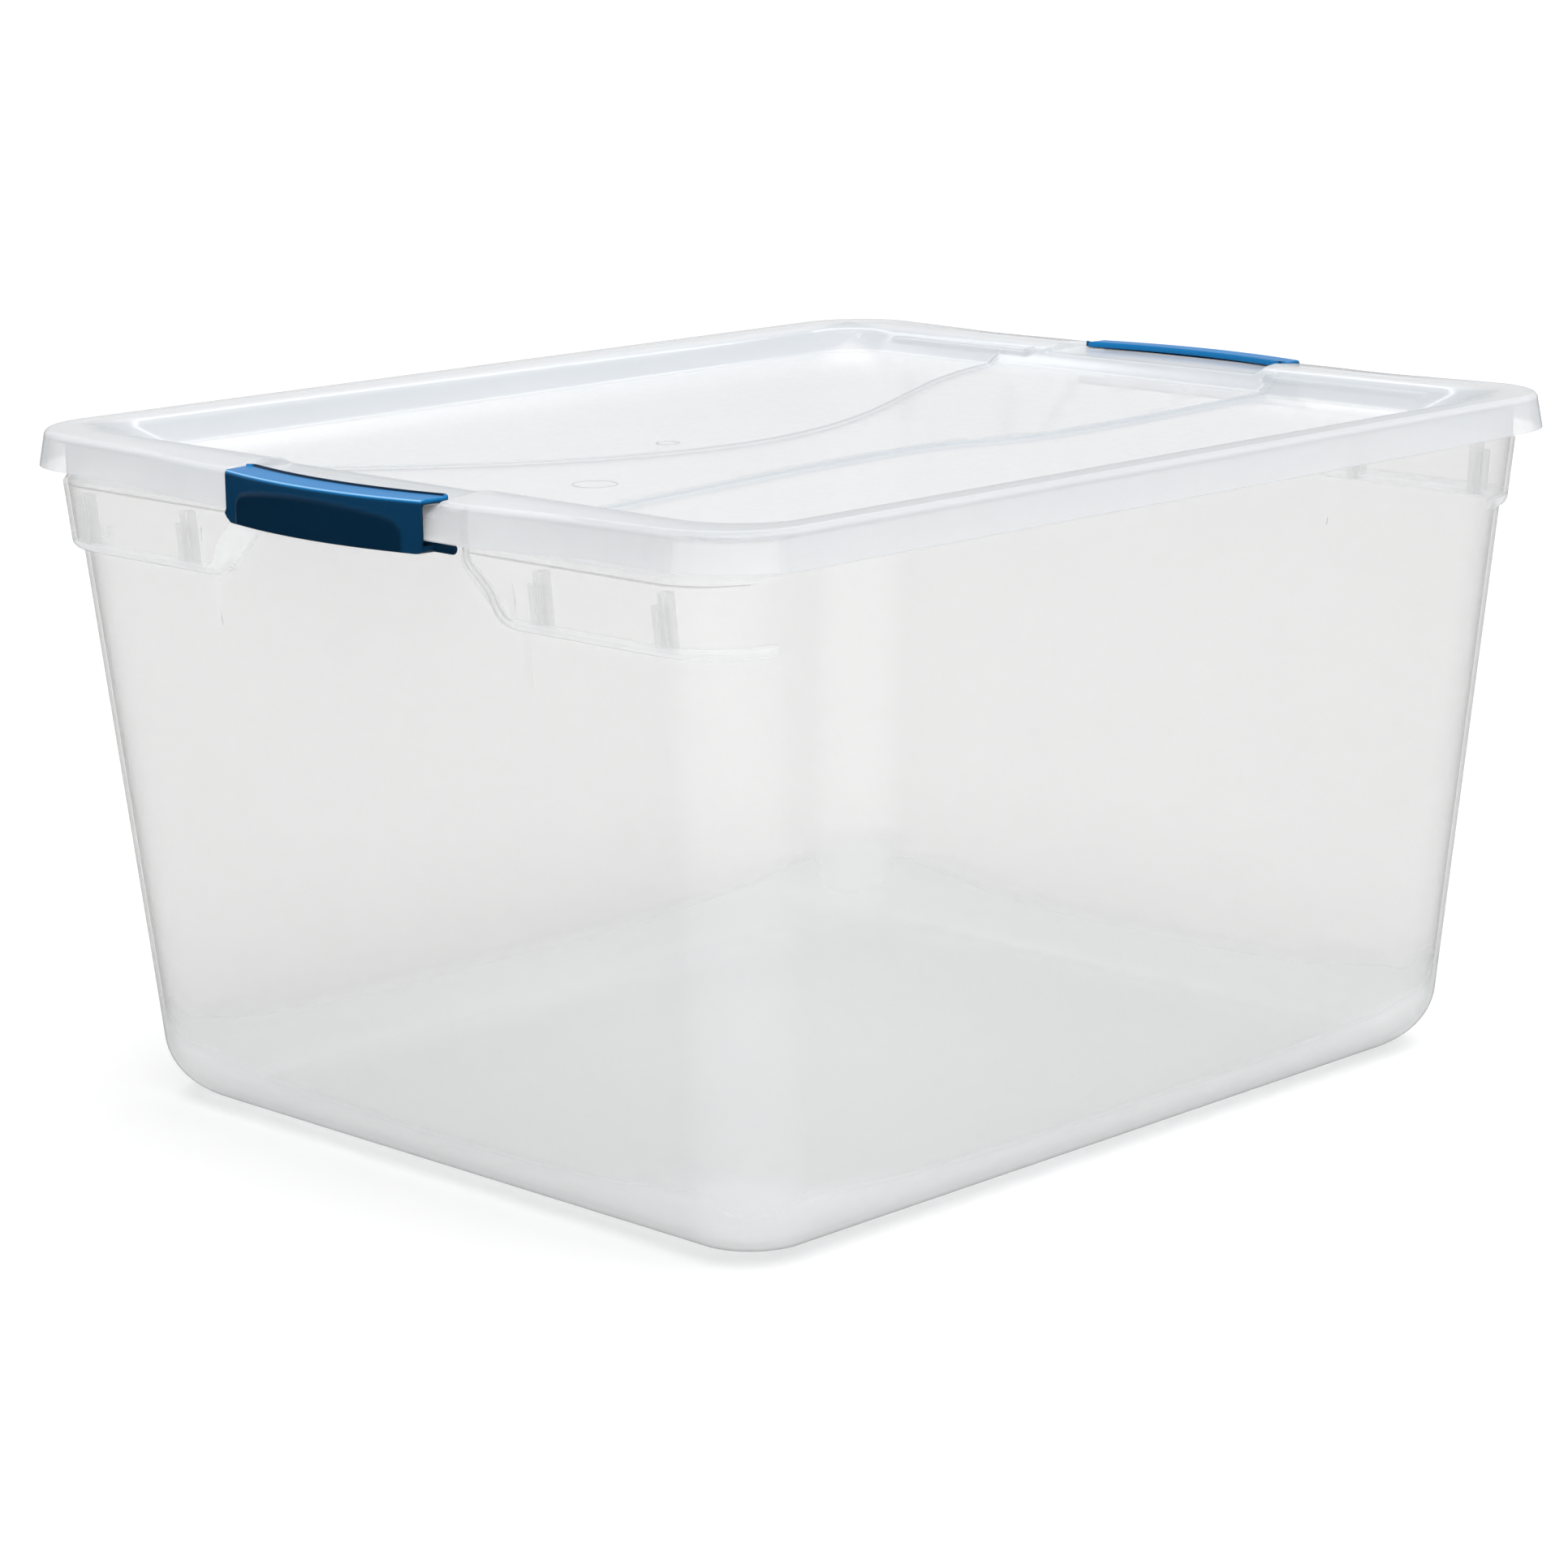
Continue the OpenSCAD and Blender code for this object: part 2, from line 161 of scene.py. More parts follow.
# Latch, its hinge rod and the tub's clips that hold the rod
LATCH_HALF, END_GAP, LATCH_STEPS = 67.0, 0.6, 90
LATCH_REACH = LATCH_HIGH[0]
LATCH_BOTTOM, LATCH_TOP = LATCH_LOW[2], 327.0
LATCH_BOW = 8.0
LATCH_WALL = 2.2
HOOK, HOOK_CORNER = 18.0, 5.0
FOOT_CORNER = 3.0
LIP_HEIGHT, LIP_WIDTH = 0.8, 1.6
OUTER_ROUND, LOWER_ROUND, INNER_ROUND = 2.2, 1.4, 1.2
END_LEAN = 1.6
ARCH_STEP, ARCH_RUN = 0.7, 1.8
ARCH_CROWN, ARCH_SHOULDER, ARCH_TURN, ARCH_FOOT = 321.8, 318.4, 310.0, 306.0
ARCH_HALF, ARCH_CORNER, ARCH_TOP_HALF = 57.0, 8.0, 46.0
ROD_R = HINGE_Z - LATCH_BOTTOM
ROD_HALF = LATCH_HIGH[1]
CLIP_PLACES = (-42.0, 0.0, 42.0)
CLIP_WIDTH, CLIP_WALL, CLIP_MOUTH, CLIP_GAP, CLIP_BEVEL = 6.0, 1.95, 3.7, 0.05, 0.3
NOTCH_HALF, NOTCH_ROOM, NOTCH_EDGE = 3.8, 1.25, 0.3
ROD_SIDES, ROD_BEVEL = 24, 0.5

# Painted light on the latch: how much lighter the flange and the face beside the arch are painted, how
# strong the painted highlight on the rounded edge is, and where each begins and fades
FLANGE_PAINTED_LIGHT, EDGE_PAINTED_HIGHLIGHT, FACE_PAINTED_LIGHT = 0.7, 0.3, 0.07
TOP_BELOW, TOP_FADE, LIP_FADE = 1.4, 1.2, 0.8
ROUND_IN, ROUND_REACH, ROUND_FADE = 0.65, 1.3, 1.1
HOOK_IN, HOOK_FADE = 0.6, 0.3
FACE_ABOVE, FACE_BACK, FACE_FADE = 0.2, 2.0, 1.8

# Colours and haze of the clear plastic: (thin, thick), haze per wall, roughness. The tub's thick colour
# is whiter, for thick milky plastic and partly painted light; the lid's thick colour is a grey painted
# shade
TUB_COLOURS, TUB_DEPTH, TUB_ROUGHNESS = ((0.59, 0.59, 0.58), (0.80, 0.82, 0.84)), 0.15, 0.16
LID_COLOUR_AND_SHADE, LID_DEPTH, LID_ROUGHNESS = ((0.86, 0.87, 0.89), (0.59, 0.63, 0.67)), 0.26, 0.15
PALE_COLOUR, WARM_TINT, WARM_SHARE = (0.95, 0.955, 0.96), (0.90, 0.89, 0.87), 0.12
HAZE_VARIES, ROUGHNESS_VARIES = 0.2, 0.04
CLOUD_SCALE, GRAIN_SCALE, CLEAR_DETAIL = 9.0, 260.0, 3.0
BUMP_STRENGTH, BUMP_DISTANCE = 0.08, 0.0002
LEAST_COSINE, SHADOW_SHARE = 0.25, 0.4
THICKNESS_RANGE, CLOUD_RANGE = (0.85, 2.5), (0.3, 0.7)

# Colours of the blue plastic: the body, the flange painted lighter as if lit from above, and a painted
# highlight on the flange's rounded edge
BODY_BLUES = ((0.0003, 0.017, 0.043), (0.0005, 0.022, 0.054))
FLANGE_LIT_BLUES = ((0.010, 0.21, 0.54), (0.016, 0.25, 0.62))
EDGE_HIGHLIGHT_BLUE = (0.40, 0.70, 1.0)
BLUE_ROUGHNESS, BLUE_SPECULAR = (0.2, 0.32), 0.1
BLUE_SCALE, BLUE_DETAIL, BLUE_VARIES = 18.0, 2.0, 0.6

# Camera and studio, in metres and degrees; the strip light has its place, aim, size and power
CAMERA_PLACE, CAMERA_AIM, CAMERA_ROLL = (-1.50866, -1.46678, 0.62212), (0, 0, 0.1433), -0.544
CAMERA_LENS, CAMERA_SENSOR, CAMERA_SHIFT = 101.42, 36.0, (-0.01514, 0.0001)
HORIZON_LIGHT, ZENITH_LIGHT, LOW_LIGHT = 0.5, 0.4, 0.02
SUN_POWER, SUN_ANGLE, SUN_TURN = 2.5, 70, (15, -2, 0)
STRIP = ((0.9, 1.1, 1.3), (0, 0, 0.3), (1.0, 0.07), 1.2)
FLOOR_COLOUR, FLOOR_ROUGHNESS, FLOOR_R, FLOOR_DROP = (0.96, 0.96, 0.96), 0.7, 20, 0.0002


# ---------------------------------------------------------------- helpers

def smooth(t):
    """Smooth step from 0 to 1, of a number or an array."""
    t = np.clip(t, 0.0, 1.0)
    return t * t * (3 - 2 * t)


def arc(cx, cy, r, start, stop, steps):
    """Points on a circle, angles in degrees."""
    angles = np.radians(np.linspace(start, stop, steps + 1))
    return np.column_stack([cx + r * np.cos(angles), cy + r * np.sin(angles)])


def flat_to_3d(points, z):
    """Adds one height to a list of (x, y) points."""
    return np.column_stack([points, np.full(len(points), z)])


def rounded_path(corners, cuts, steps=8):
    """A path through corners; each inner corner is rounded off over a distance either side of it."""
    corners = np.array(corners, float)
    t = np.linspace(0, 1, steps + 1)[:, None]
    path = [corners[:1]]
    for before, corner, after, cut in zip(corners, corners[1:], corners[2:], cuts):
        start = corner + (before - corner) * cut / np.linalg.norm(before - corner)
        end = corner + (after - corner) * cut / np.linalg.norm(after - corner)
        path.append((1 - t) ** 2 * start + 2 * t * (1 - t) * corner + t * t * end)
    return np.vstack([*path, corners[-1:]])


def evenly(path, pitch):
    """The same path with points at an even spacing."""
    run = np.concatenate([[0], np.cumsum(np.linalg.norm(np.diff(path, axis=0), axis=1))])
    at = np.linspace(0, run[-1], int(math.ceil(run[-1] / pitch)) + 1)
    return np.column_stack([np.interp(at, run, path[:, i]) for i in range(path.shape[1])])


def bezier(points, steps):
    """Cubic Bezier curve through its own end points."""
    t = np.linspace(0, 1, steps + 1)[:, None]
    p = [np.array(point, float) for point in points]
    return (1 - t) ** 3 * p[0] + 3 * (1 - t) ** 2 * t * p[1] + 3 * (1 - t) * t * t * p[2] + t ** 3 * p[3]


def distance_to_line(points, line):
    """Distance of each 2-D point from a polyline, positive on its left side."""
    best = np.full(len(points), 1e9)
    side = np.zeros(len(points))
    for a, b in zip(line[:-1], line[1:]):
        run = b - a
        t = np.clip((points - a) @ run / (run @ run), 0, 1)
        gap = points - a - t[:, None] * run
        d = np.linalg.norm(gap, axis=1)
        nearer = d < best - 1e-9
        best[nearer] = d[nearer]
        side[nearer] = (run[0] * gap[:, 1] - run[1] * gap[:, 0])[nearer]
    return best * np.sign(side)


def end_stops(count, fine=(), spread=0.02):
    """Places along an end's straight part, from -1 to 1, closer together around the fine ones."""
    nearby = np.linspace(-spread, spread, 9)
    close = [side * (place + d) for place in fine for side in (-1, 1) for d in nearby]
    return np.unique(np.round([*np.linspace(-1, 1, count + 1)[1:-1], *close], 6))


def outline(hx, hy, r, stops, side_steps, corner_steps):
    """Closed rounded rectangle, counter-clockwise, with points at the given stops along each end."""
    side = np.linspace(hx - r, r - hx, side_steps + 1)[1:-1]
    half = np.vstack([
        arc(hx - r, r - hy, r, -90, 0, corner_steps),
        np.column_stack([np.full(len(stops), hx), stops * (hy - r)]),
        arc(hx - r, hy - r, r, 0, 90, corner_steps),
        np.column_stack([side, np.full(len(side), hy)]),
    ])
    return np.vstack([half, -half])


def grid_faces(rows, columns, first=0):
    """Quads between rows of points, each row a closed loop."""
    faces = []
    for j in range(rows - 1):
        for i in range(columns):
            a, b = first + j * columns + i, first + j * columns + (i + 1) % columns
            faces.append((a, b, b + columns, a + columns))
    return faces


def bar_faces(rows, columns, first=0):
    """Quads between rows of points, with one face over the first row and one over the last."""
    last = first + (rows - 1) * columns
    ends = [tuple(range(first, first + columns))[::-1], tuple(range(last, last + columns))]
    return grid_faces(rows, columns, first) + ends


def grid_normals(rows):
    """Unit normals of a stack of closed loops, shape (rows, points, 3)."""
    along = np.roll(rows, -1, axis=1) - np.roll(rows, 1, axis=1)
    up = np.gradient(rows, axis=0)
    normals = np.cross(along, up)
    return normals / np.maximum(np.linalg.norm(normals, axis=2, keepdims=True), 1e-9)


def mesh_object(name, verts, faces, material):
    """A smooth-shaded mesh object from millimetre points."""
    mesh = bpy.data.meshes.new(name)
    mesh.from_pydata([tuple(v) for v in np.asarray(verts) * MM], [], faces)
    mesh.validate()
    bm = bmesh.new()
    bm.from_mesh(mesh)
    bmesh.ops.recalc_face_normals(bm, faces=bm.faces)
    bm.to_mesh(mesh)
    bm.free()
    mesh.polygons.foreach_set("use_smooth", [True] * len(mesh.polygons))
    mesh.materials.append(material)
    obj = bpy.data.objects.new(name, mesh)
    bpy.context.scene.collection.objects.link(obj)
    return obj


def set_values(obj, name, values):
    """Stores one number for each vertex, for the materials to read."""
    layer = obj.data.attributes.new(name, "FLOAT", "POINT")
    layer.data.foreach_set("value", np.asarray(values, np.float32))


def join(main, others):
    """Joins mesh objects into the first one."""
    with bpy.context.temp_override(active_object=main, selected_editable_objects=[main, *others]):
        bpy.ops.object.join()
    return main


# ---------------------------------------------------------------- materials

class Graph:
    """Short ways to add nodes to a new material; those that make a value give back its socket."""

    def __init__(self, name):
        self.material = bpy.data.materials.new(name)
        self.material.use_nodes = True
        self.nodes = self.material.node_tree.nodes
        self.links = self.material.node_tree.links
        self.shader = self.nodes["Principled BSDF"]
        self.place = self.nodes.new("ShaderNodeTexCoord").outputs["Object"]

    def put(self, value, socket):
        """Links a socket, or sets a plain value."""
        if isinstance(value, bpy.types.NodeSocket):
            self.links.new(value, socket)
        else:
            socket.default_value = value

    def math(self, operation, *values):
        """The result of a sum on sockets or plain values."""
        node = self.nodes.new("ShaderNodeMath")
        node.operation = operation
        for value, socket in zip(values, node.inputs):
            self.put(value, socket)
        return node.outputs[0]

    def noise(self, scale, detail):
        """Soft noise in the object's own space."""
        node = self.nodes.new("ShaderNodeTexNoise")
        node.inputs["Scale"].default_value = scale
        node.inputs["Detail"].default_value = detail
        self.links.new(self.place, node.inputs["Vector"])
        return node.outputs["Fac"]

    def ranged(self, value, low, high, to_low, to_high):
        """A value mapped from one range to another, and held inside it."""
        node = self.nodes.new("ShaderNodeMapRange")
        ends = (("From Min", low), ("From Max", high), ("To Min", to_low), ("To Max", to_high))
        for name, number in ends:
            node.inputs[name].default_value = number
        self.links.new(value, node.inputs["Value"])
        return node.outputs["Result"]

    def attribute(self, name):
        """A number that set_values stored for each vertex."""
        node = self.nodes.new("ShaderNodeAttribute")
        node.attribute_name = name
        return node.outputs["Fac"]

    def mix(self, factor, a, b):
        """A colour between a and b."""
        node = self.nodes.new("ShaderNodeMix")
        node.data_type = "RGBA"
        self.put(factor, node.inputs["Factor"])
        for value, socket in ((a, node.inputs["A"]), (b, node.inputs["B"])):
            self.put(value if isinstance(value, bpy.types.NodeSocket) else (*value, 1), socket)
        return node.outputs["Result"]

    def bump(self, height, strength, distance):
        """Small unevenness of the whole surface."""
        node = self.nodes.new("ShaderNodeBump")
        node.inputs["Strength"].default_value = strength
        node.inputs["Distance"].default_value = distance
        self.links.new(height, node.inputs["Height"])
        self.links.new(node.outputs["Normal"], self.shader.inputs["Normal"])


def clear_plastic(name, thin_colour, thick_colour, depth, roughness):
    """Milky clear plastic: each surface hides more the more plastic is looked through."""
    g = Graph(name)
    cloud, grain = g.noise(CLOUD_SCALE, CLEAR_DETAIL), g.noise(GRAIN_SCALE, CLEAR_DETAIL)
    thickness, pale = g.attribute("thickness"), g.attribute("pale")
    haze = g.math("MULTIPLY_ADD", cloud, HAZE_VARIES, 1 - HAZE_VARIES / 2)
    optical = g.math("MULTIPLY", g.math("MULTIPLY", haze, thickness), depth)
    facing = g.nodes.new("ShaderNodeLayerWeight")
    facing.inputs["Blend"].default_value = 0.5
    cosine = g.math("MAXIMUM", g.math("SUBTRACT", 1.0, facing.outputs["Facing"]), LEAST_COSINE)
    passed = g.math("EXPONENT", g.math("MULTIPLY", g.math("DIVIDE", optical, cosine), -1.0))
    # Milky plastic spreads light more than it stops it, so it casts only part of its haze as shadow
    shadow = g.nodes.new("ShaderNodeLightPath").outputs["Is Shadow Ray"]
    share = g.math("SUBTRACT", 1.0, g.math("MULTIPLY", shadow, 1 - SHADOW_SHARE))
    g.put(g.math("MULTIPLY", g.math("SUBTRACT", 1.0, passed), share), g.shader.inputs["Alpha"])
    # Colour follows the plastic looked through: whiter on the tub, partly painted light; on the lid a
    # grey painted shade
    colour = g.mix(g.ranged(thickness, *THICKNESS_RANGE, 0.0, 1.0), thin_colour, thick_colour)
    varied = g.mix(g.ranged(cloud, *CLOUD_RANGE, 0.0, WARM_SHARE), colour, WARM_TINT)
    g.put(g.mix(pale, varied, PALE_COLOUR), g.shader.inputs["Base Color"])
    rough = g.ranged(grain, 0.0, 1.0, roughness - ROUGHNESS_VARIES, roughness + ROUGHNESS_VARIES)
    g.put(rough, g.shader.inputs["Roughness"])
    g.bump(cloud, BUMP_STRENGTH, BUMP_DISTANCE)
    return g.material


def blue_plastic(name):
    """Opaque blue moulded plastic: a dark body, with painted light on the flange and beside the arch and
    a painted highlight on the flange's rounded edge.
    """
    g = Graph(name)
    cloud = g.noise(BLUE_SCALE, BLUE_DETAIL)
    spread = g.ranged(cloud, *CLOUD_RANGE, 0.0, BLUE_VARIES)
    body = g.mix(spread, *BODY_BLUES)
    lit_flange = g.mix(spread, *FLANGE_LIT_BLUES)
    # Painted light: the flange is painted a lighter blue, as if lit from above, and its rounded edge
    # carries a painted highlight
    painted_light = g.attribute("painted_light")
    edge = g.mix(g.ranged(painted_light, FLANGE_PAINTED_LIGHT, 1.0, 0.0, 1.0), lit_flange, EDGE_HIGHLIGHT_BLUE)
    g.put(g.mix(g.ranged(painted_light, 0.0, FLANGE_PAINTED_LIGHT, 0.0, 1.0), body, edge), g.shader.inputs["Base Color"])
    g.put(g.ranged(cloud, 0.0, 1.0, *BLUE_ROUGHNESS), g.shader.inputs["Roughness"])
    g.shader.inputs["Specular IOR Level"].default_value = BLUE_SPECULAR
    return g.material


def plain(name, colour, roughness):
    """One even colour without shine, for the studio floor."""
    mat = bpy.data.materials.new(name)
    mat.use_nodes = True
    shader = mat.node_tree.nodes["Principled BSDF"]
    shader.inputs["Base Color"].default_value = (*colour, 1)
    shader.inputs["Roughness"].default_value = roughness
    shader.inputs["Specular IOR Level"].default_value = 0.0
    return mat


# ---------------------------------------------------------------- tub

def wall_half(z):
    """Half length and half width of the walls at a height."""
    drop = SKIRT_Z - min(z, STEP_Z)
    return TUB_HALF_X - END_DRAFT * drop, TUB_HALF_Y - SIDE_DRAFT * drop


# The shoulder's inner and lower edge in the end wall's (y, z) plane, from the top down and outwards
RECESS_EDGE = rounded_path([(RECESS_HIGH, STEP_Z + 20), (RECESS_HIGH, RECESS_TOP), (RECESS_LOW, LEDGE_Z),
                            (400, LEDGE_Z)], (BEND_R * 0.5, BEND_R * 0.8))
TUB_STOPS = end_stops(TUB_STEPS[0], (PLATE_HALF / (TUB_HALF_Y - CORNER_R),))


def shoulder_place(y, z):
    """Where points of the end wall lie across the shoulder's sloping edge: 0 at its foot, 1 at its top.

    Also gives how far each point belongs to the cheek beside the recess rather than to the ledge.
    """
    d = distance_to_line(np.column_stack([np.abs(y), z]), RECESS_EDGE)
    cheek = smooth((z - LEDGE_Z - CHEEK_LOW) / CHEEK_RISE)
    return d / (LEDGE_RUN + (CHEEK_RUN - LEDGE_RUN) * cheek), cheek


def shoulder_share(y, z):
    """How much of the shoulder's depth is reached at points of the end wall, from 0 to 1."""
    place, cheek = shoulder_place(y, z)
    t = np.clip(place, 0, 1)
    bow = np.sqrt(1 - np.clip((1 - t) / (1 - FOLD_LEAD), 0, 1) ** 2)
    lead_in = smooth(t / FOLD_LEAD) * FOLD_SHARE
    ledge = np.where(t < FOLD_LEAD, lead_in, FOLD_SHARE + (1 - FOLD_SHARE) * bow)
    return ledge + (smooth(t) - ledge) * cheek


def end_relief(y, z):
    """How far the end wall stands out: shoulders, their step below the rim, and the sunk plate."""
    depth = PROUD * shoulder_share(y, z)
    depth += smooth((z - STEP_Z + STEP_START) / STEP_RUN) * np.minimum(0, RIM_PROUD - depth)
    plate = smooth((PLATE_HALF - np.abs(y)) / PLATE_EDGE + 0.5)
    plate = plate * smooth((z - PLATE_LOW) / PLATE_EDGE + 0.5)
    return depth - PLATE_DEPTH * plate * smooth((RECESS_TOP - z) / PLATE_FADE)


def tub_loop(z, shrink=0.0):
    """One loop of the tub's outer skin, drawn in by shrink at the round floor edge."""
    hx, hy = wall_half(z)
    flat = outline(hx - shrink, hy - shrink, CORNER_R - shrink / 2, TUB_STOPS, *TUB_STEPS[1:])
    points = flat_to_3d(flat, z)
    ends = np.sign(points[:, 0]) * smooth((np.abs(points[:, 0]) - END_X) / END_FADE)
    points[:, 0] += ends * end_relief(points[:, 1], points[:, 2])
    return points


def end_dip(points):
    """How far the tops of rim and lid sink from the corners towards the latches."""
    y, x = np.abs(points[..., 1]), np.abs(points[..., 0])
    return END_DIP * (1 - smooth((y - DIP_START) / DIP_RUN)) * smooth((x - DIP_X) / DIP_X_RUN)


def tub_outside():
    """Loops of the outer skin, from the flat base up and out to the rim's edge."""
    base = [(BASE_R * (1 - math.sin(a)), BASE_R * (1 - math.cos(a)))
            for a in np.radians(np.linspace(90, 0, BASE_STEPS))]
    loops = [tub_loop(z, shrink) for z, shrink in base]
    for low, high, count in TUB_SPANS:
        loops += [tub_loop(z) for z in np.linspace(low, high, count + 1)[1:]]
    under = RIM_TOP - WALL
    top = tub_loop(under)
    edge = outline(RIM_HALF_X - RIM_EDGE, RIM_HALF_Y - RIM_EDGE, RIM_CORNER, TUB_STOPS, *TUB_STEPS[1:])
    edge = flat_to_3d(edge, under)
    for t, lift in RIM_LOOPS:
        loop = top + (edge - top) * t
        loop[:, 2] = under + lift
        loops.append(loop)
    loops = np.array(loops)
    at_latch = smooth((RIM_DIP_HALF - np.abs(loops[:, :, 1])) / RIM_DIP_EDGE)
    at_latch *= np.abs(loops[:, :, 0]) > FOLD_X
    dip = np.maximum(RIM_DIP * at_latch, end_dip(loops))
    loops[:, :, 2] -= dip * smooth((loops[:, :, 2] - RIM_FADE_LOW) / RIM_FADE_RUN)
    return loops


def close_sheet(outer, thickness):
    """Outer loops with a round edge and an inner skin added, all as one stack of loops."""
    inner = outer - grid_normals(outer) * thickness
    middle = (outer[-1] + inner[-1]) / 2
    across = (outer[-1] - inner[-1]) / 2
    along = np.roll(outer[-1], -1, axis=0) - np.roll(outer[-1], 1, axis=0)
    out = np.cross(across, along)
    out = out / np.linalg.norm(out, axis=1, keepdims=True) * thickness / 2
    if np.sum(out[:, :2] * middle[:, :2]) < 0:
        out = -out
    lip = [middle + across * math.cos(a) + out * math.sin(a) for a in np.radians([30, 60, 90, 120, 150])]
    return np.concatenate([outer, np.array(lip), inner[::-1]])


def tub_thickness_and_light(outer):
    """Plastic under each point, more in the floor's edge, the ledges and the rim; and how pale it is,
    partly a painted highlight on the ledges and the floor's edge.
    """
    x, y, z = (np.abs(outer[:, :, i]) for i in range(3))
    past_x, past_y = TUB_HALF_X - HAZE_CORNER - x, TUB_HALF_Y - HAZE_CORNER - y
    to_corner = np.hypot(np.maximum(0, past_x), np.maximum(0, past_y))
    haze_top = BASE_R + HAZE_RISE * np.exp(-to_corner / HAZE_SPREAD)
    place = np.array([shoulder_place(loop[:, 1], loop[:, 2])[0] for loop in outer])
    fold = smooth((place + FOLD_PAST) / FOLD_EDGE) * smooth((1 + FOLD_PAST - place) / FOLD_EDGE)
    rim = smooth((z - STEP_Z) / RIM_HAZE_RUN)
    fold *= smooth((x - FOLD_X) / END_FADE) * (1 - rim)
    edge = smooth((haze_top - z) / HAZE_EDGE)
    thickness = 1 + EDGE_PLASTIC * edge + FOLD_PLASTIC * fold + RIM_PLASTIC * rim
    return thickness, np.maximum(FOLD_PALE_HIGHLIGHT * fold, EDGE_PALE_HIGHLIGHT * edge)


def prism(bm, profile, place, width, bevel):
    """Adds a closed bar with an (x, z) profile to bm, centred on y = place, with rounded edges."""
    verts = [[bm.verts.new((x * MM, (place + side * width / 2) * MM, z * MM)) for x, z in profile]
             for side in (-1, 1)]
    count = len(profile)
    faces = [bm.faces.new(verts[0]), bm.faces.new(verts[1][::-1])]
    for i in range(count):
        j = (i + 1) % count
        faces.append(bm.faces.new((verts[0][i], verts[1][i], verts[1][j], verts[0][j])))
    bmesh.ops.recalc_face_normals(bm, faces=faces)
    # Each edge once, in the order of the faces, so that every run gives the same mesh
    every_edge = dict.fromkeys(e for f in faces for e in f.edges)
    edges = [e for e in every_edge if e.calc_face_angle(0) > SHARP_ANGLE]
    bmesh.ops.bevel(bm, geom=edges, offset=bevel * MM, segments=2, profile=0.5, affect="EDGES",
                    clamp_overlap=True)


def clip_profile():
    """Snap clip round the hinge rod, with its web up to the rim."""
    bore = ROD_R + CLIP_GAP
    outer = ROD_R + CLIP_WALL
    mouth = math.degrees(math.asin(CLIP_MOUTH / 2 / outer))
    inside = math.degrees(math.asin(CLIP_MOUTH / 2 / bore))
    root = wall_half(HINGE_Z)[0] - WALL / 2
    top = RIM_TOP - RIM_DIP - WALL / 2
    ring = arc(HINGE_X, HINGE_Z, outer, 0, -90 + mouth, 8)
    bore_arc = arc(HINGE_X, HINGE_Z, bore, -90 + inside, 270 - inside, 18)
    back = arc(HINGE_X, HINGE_Z, outer, -90 - mouth, -150, 4)
    return np.vstack([[HINGE_X + outer, HINGE_Z + 1], ring, bore_arc, back,
                      [root, HINGE_Z - outer + 1.5], [root, top], [HINGE_X - 0.5, top]])


def rib_profile(height):
    """A rib that fills the back of a shoulder, seen along y."""
    foot, knee = LEDGE_Z + RIB_FOOT, LEDGE_Z + RIB_KNEE
    inner, outer = WALL - RIB_BURIED, PROUD - WALL / 2
    at = [wall_half(z)[0] for z in (foot, knee, height)]
    return [(at[0] - inner, foot), (at[0] + outer - RIB_SLANT, foot), (at[1] + outer, knee),
            (at[2] + outer, height), (at[2] - inner, height)]


def tub_fittings(material):
    """Ribs and hinge clips at both ends, as one mesh."""
    bm = bmesh.new()
    half_rib = RIB_WIDTH / 2 + RIB_OVERLAP
    for place in (-RIB_PLACES[1], -RIB_PLACES[0], *RIB_PLACES):
        for side, height in zip((-1, 1), RIB_TOPS):
            prism(bm, rib_profile(height), place + side * RIB_WIDTH / 4, half_rib, RIB_BEVEL)
    for place in CLIP_PLACES:
        prism(bm, clip_profile(), place, CLIP_WIDTH, CLIP_BEVEL)
    copied = bmesh.ops.duplicate(bm, geom=bm.verts[:] + bm.edges[:] + bm.faces[:])["geom"]
    far_end = [part for part in copied if isinstance(part, bmesh.types.BMVert)]
    bmesh.ops.rotate(bm, verts=far_end, cent=(0, 0, 0), matrix=Matrix.Rotation(math.pi, 3, "Z"))
    mesh = bpy.data.meshes.new("fittings")
    bm.to_mesh(mesh)
    bm.free()
    mesh.materials.append(material)
    obj = bpy.data.objects.new("fittings", mesh)
    bpy.context.scene.collection.objects.link(obj)
    # Painted light: the ribs and clips are painted near white against the shade they sit in, on top of
    # the whiter look of thick plastic
    set_values(obj, "thickness", [FITTING_THICKNESS] * len(mesh.vertices))
    set_values(obj, "pale", [1.0] * len(mesh.vertices))
    return obj


def make_tub(material):
    """The tub: walls, shoulders, rim, ribs and clips."""
    outer = tub_outside()
    sheet = close_sheet(outer, WALL)
    rows, columns = sheet.shape[:2]
    tub = mesh_object("tub_moulding", sheet.reshape(-1, 3), bar_faces(rows, columns), material)
    for name, skin in zip(("thickness", "pale"), tub_thickness_and_light(outer)):
        lip = np.repeat(skin[-1:], rows - 2 * len(outer), axis=0)
        set_values(tub, name, np.concatenate([skin, lip, skin[::-1]]).ravel())
    return join(tub, [tub_fittings(material)])


# ---------------------------------------------------------------- lid

LID_STOPS = end_stops(LID_STEPS[0], LID_FINE)


def lid_loop(inset, share):
    """A loop of the skirt, drawn in by inset, at a share of the way from its lower to its top edge."""
    hx, hy = SKIRT_HALF_X - inset, SKIRT_HALF_Y - inset
    flat = outline(hx, hy, LID_CORNER - inset, LID_STOPS, *LID_STEPS[1:])
    bow = LID_BOW * smooth(0.5 - (np.abs(flat[:, 1]) - BOW_TURN) / BOW_RUN)
    flat[:, 0] += np.sign(flat[:, 0]) * bow * (np.abs(flat[:, 0]) > BOW_X)
    bottom = SKIRT_Z + SKIRT_RISE * smooth((np.abs(flat[:, 1]) - SKIRT_RISE_START) / SKIRT_RISE_RUN)
    top = LID_TOP - EDGE_R - end_dip(flat)
    return np.column_stack([flat, bottom + (top - bottom) * share])


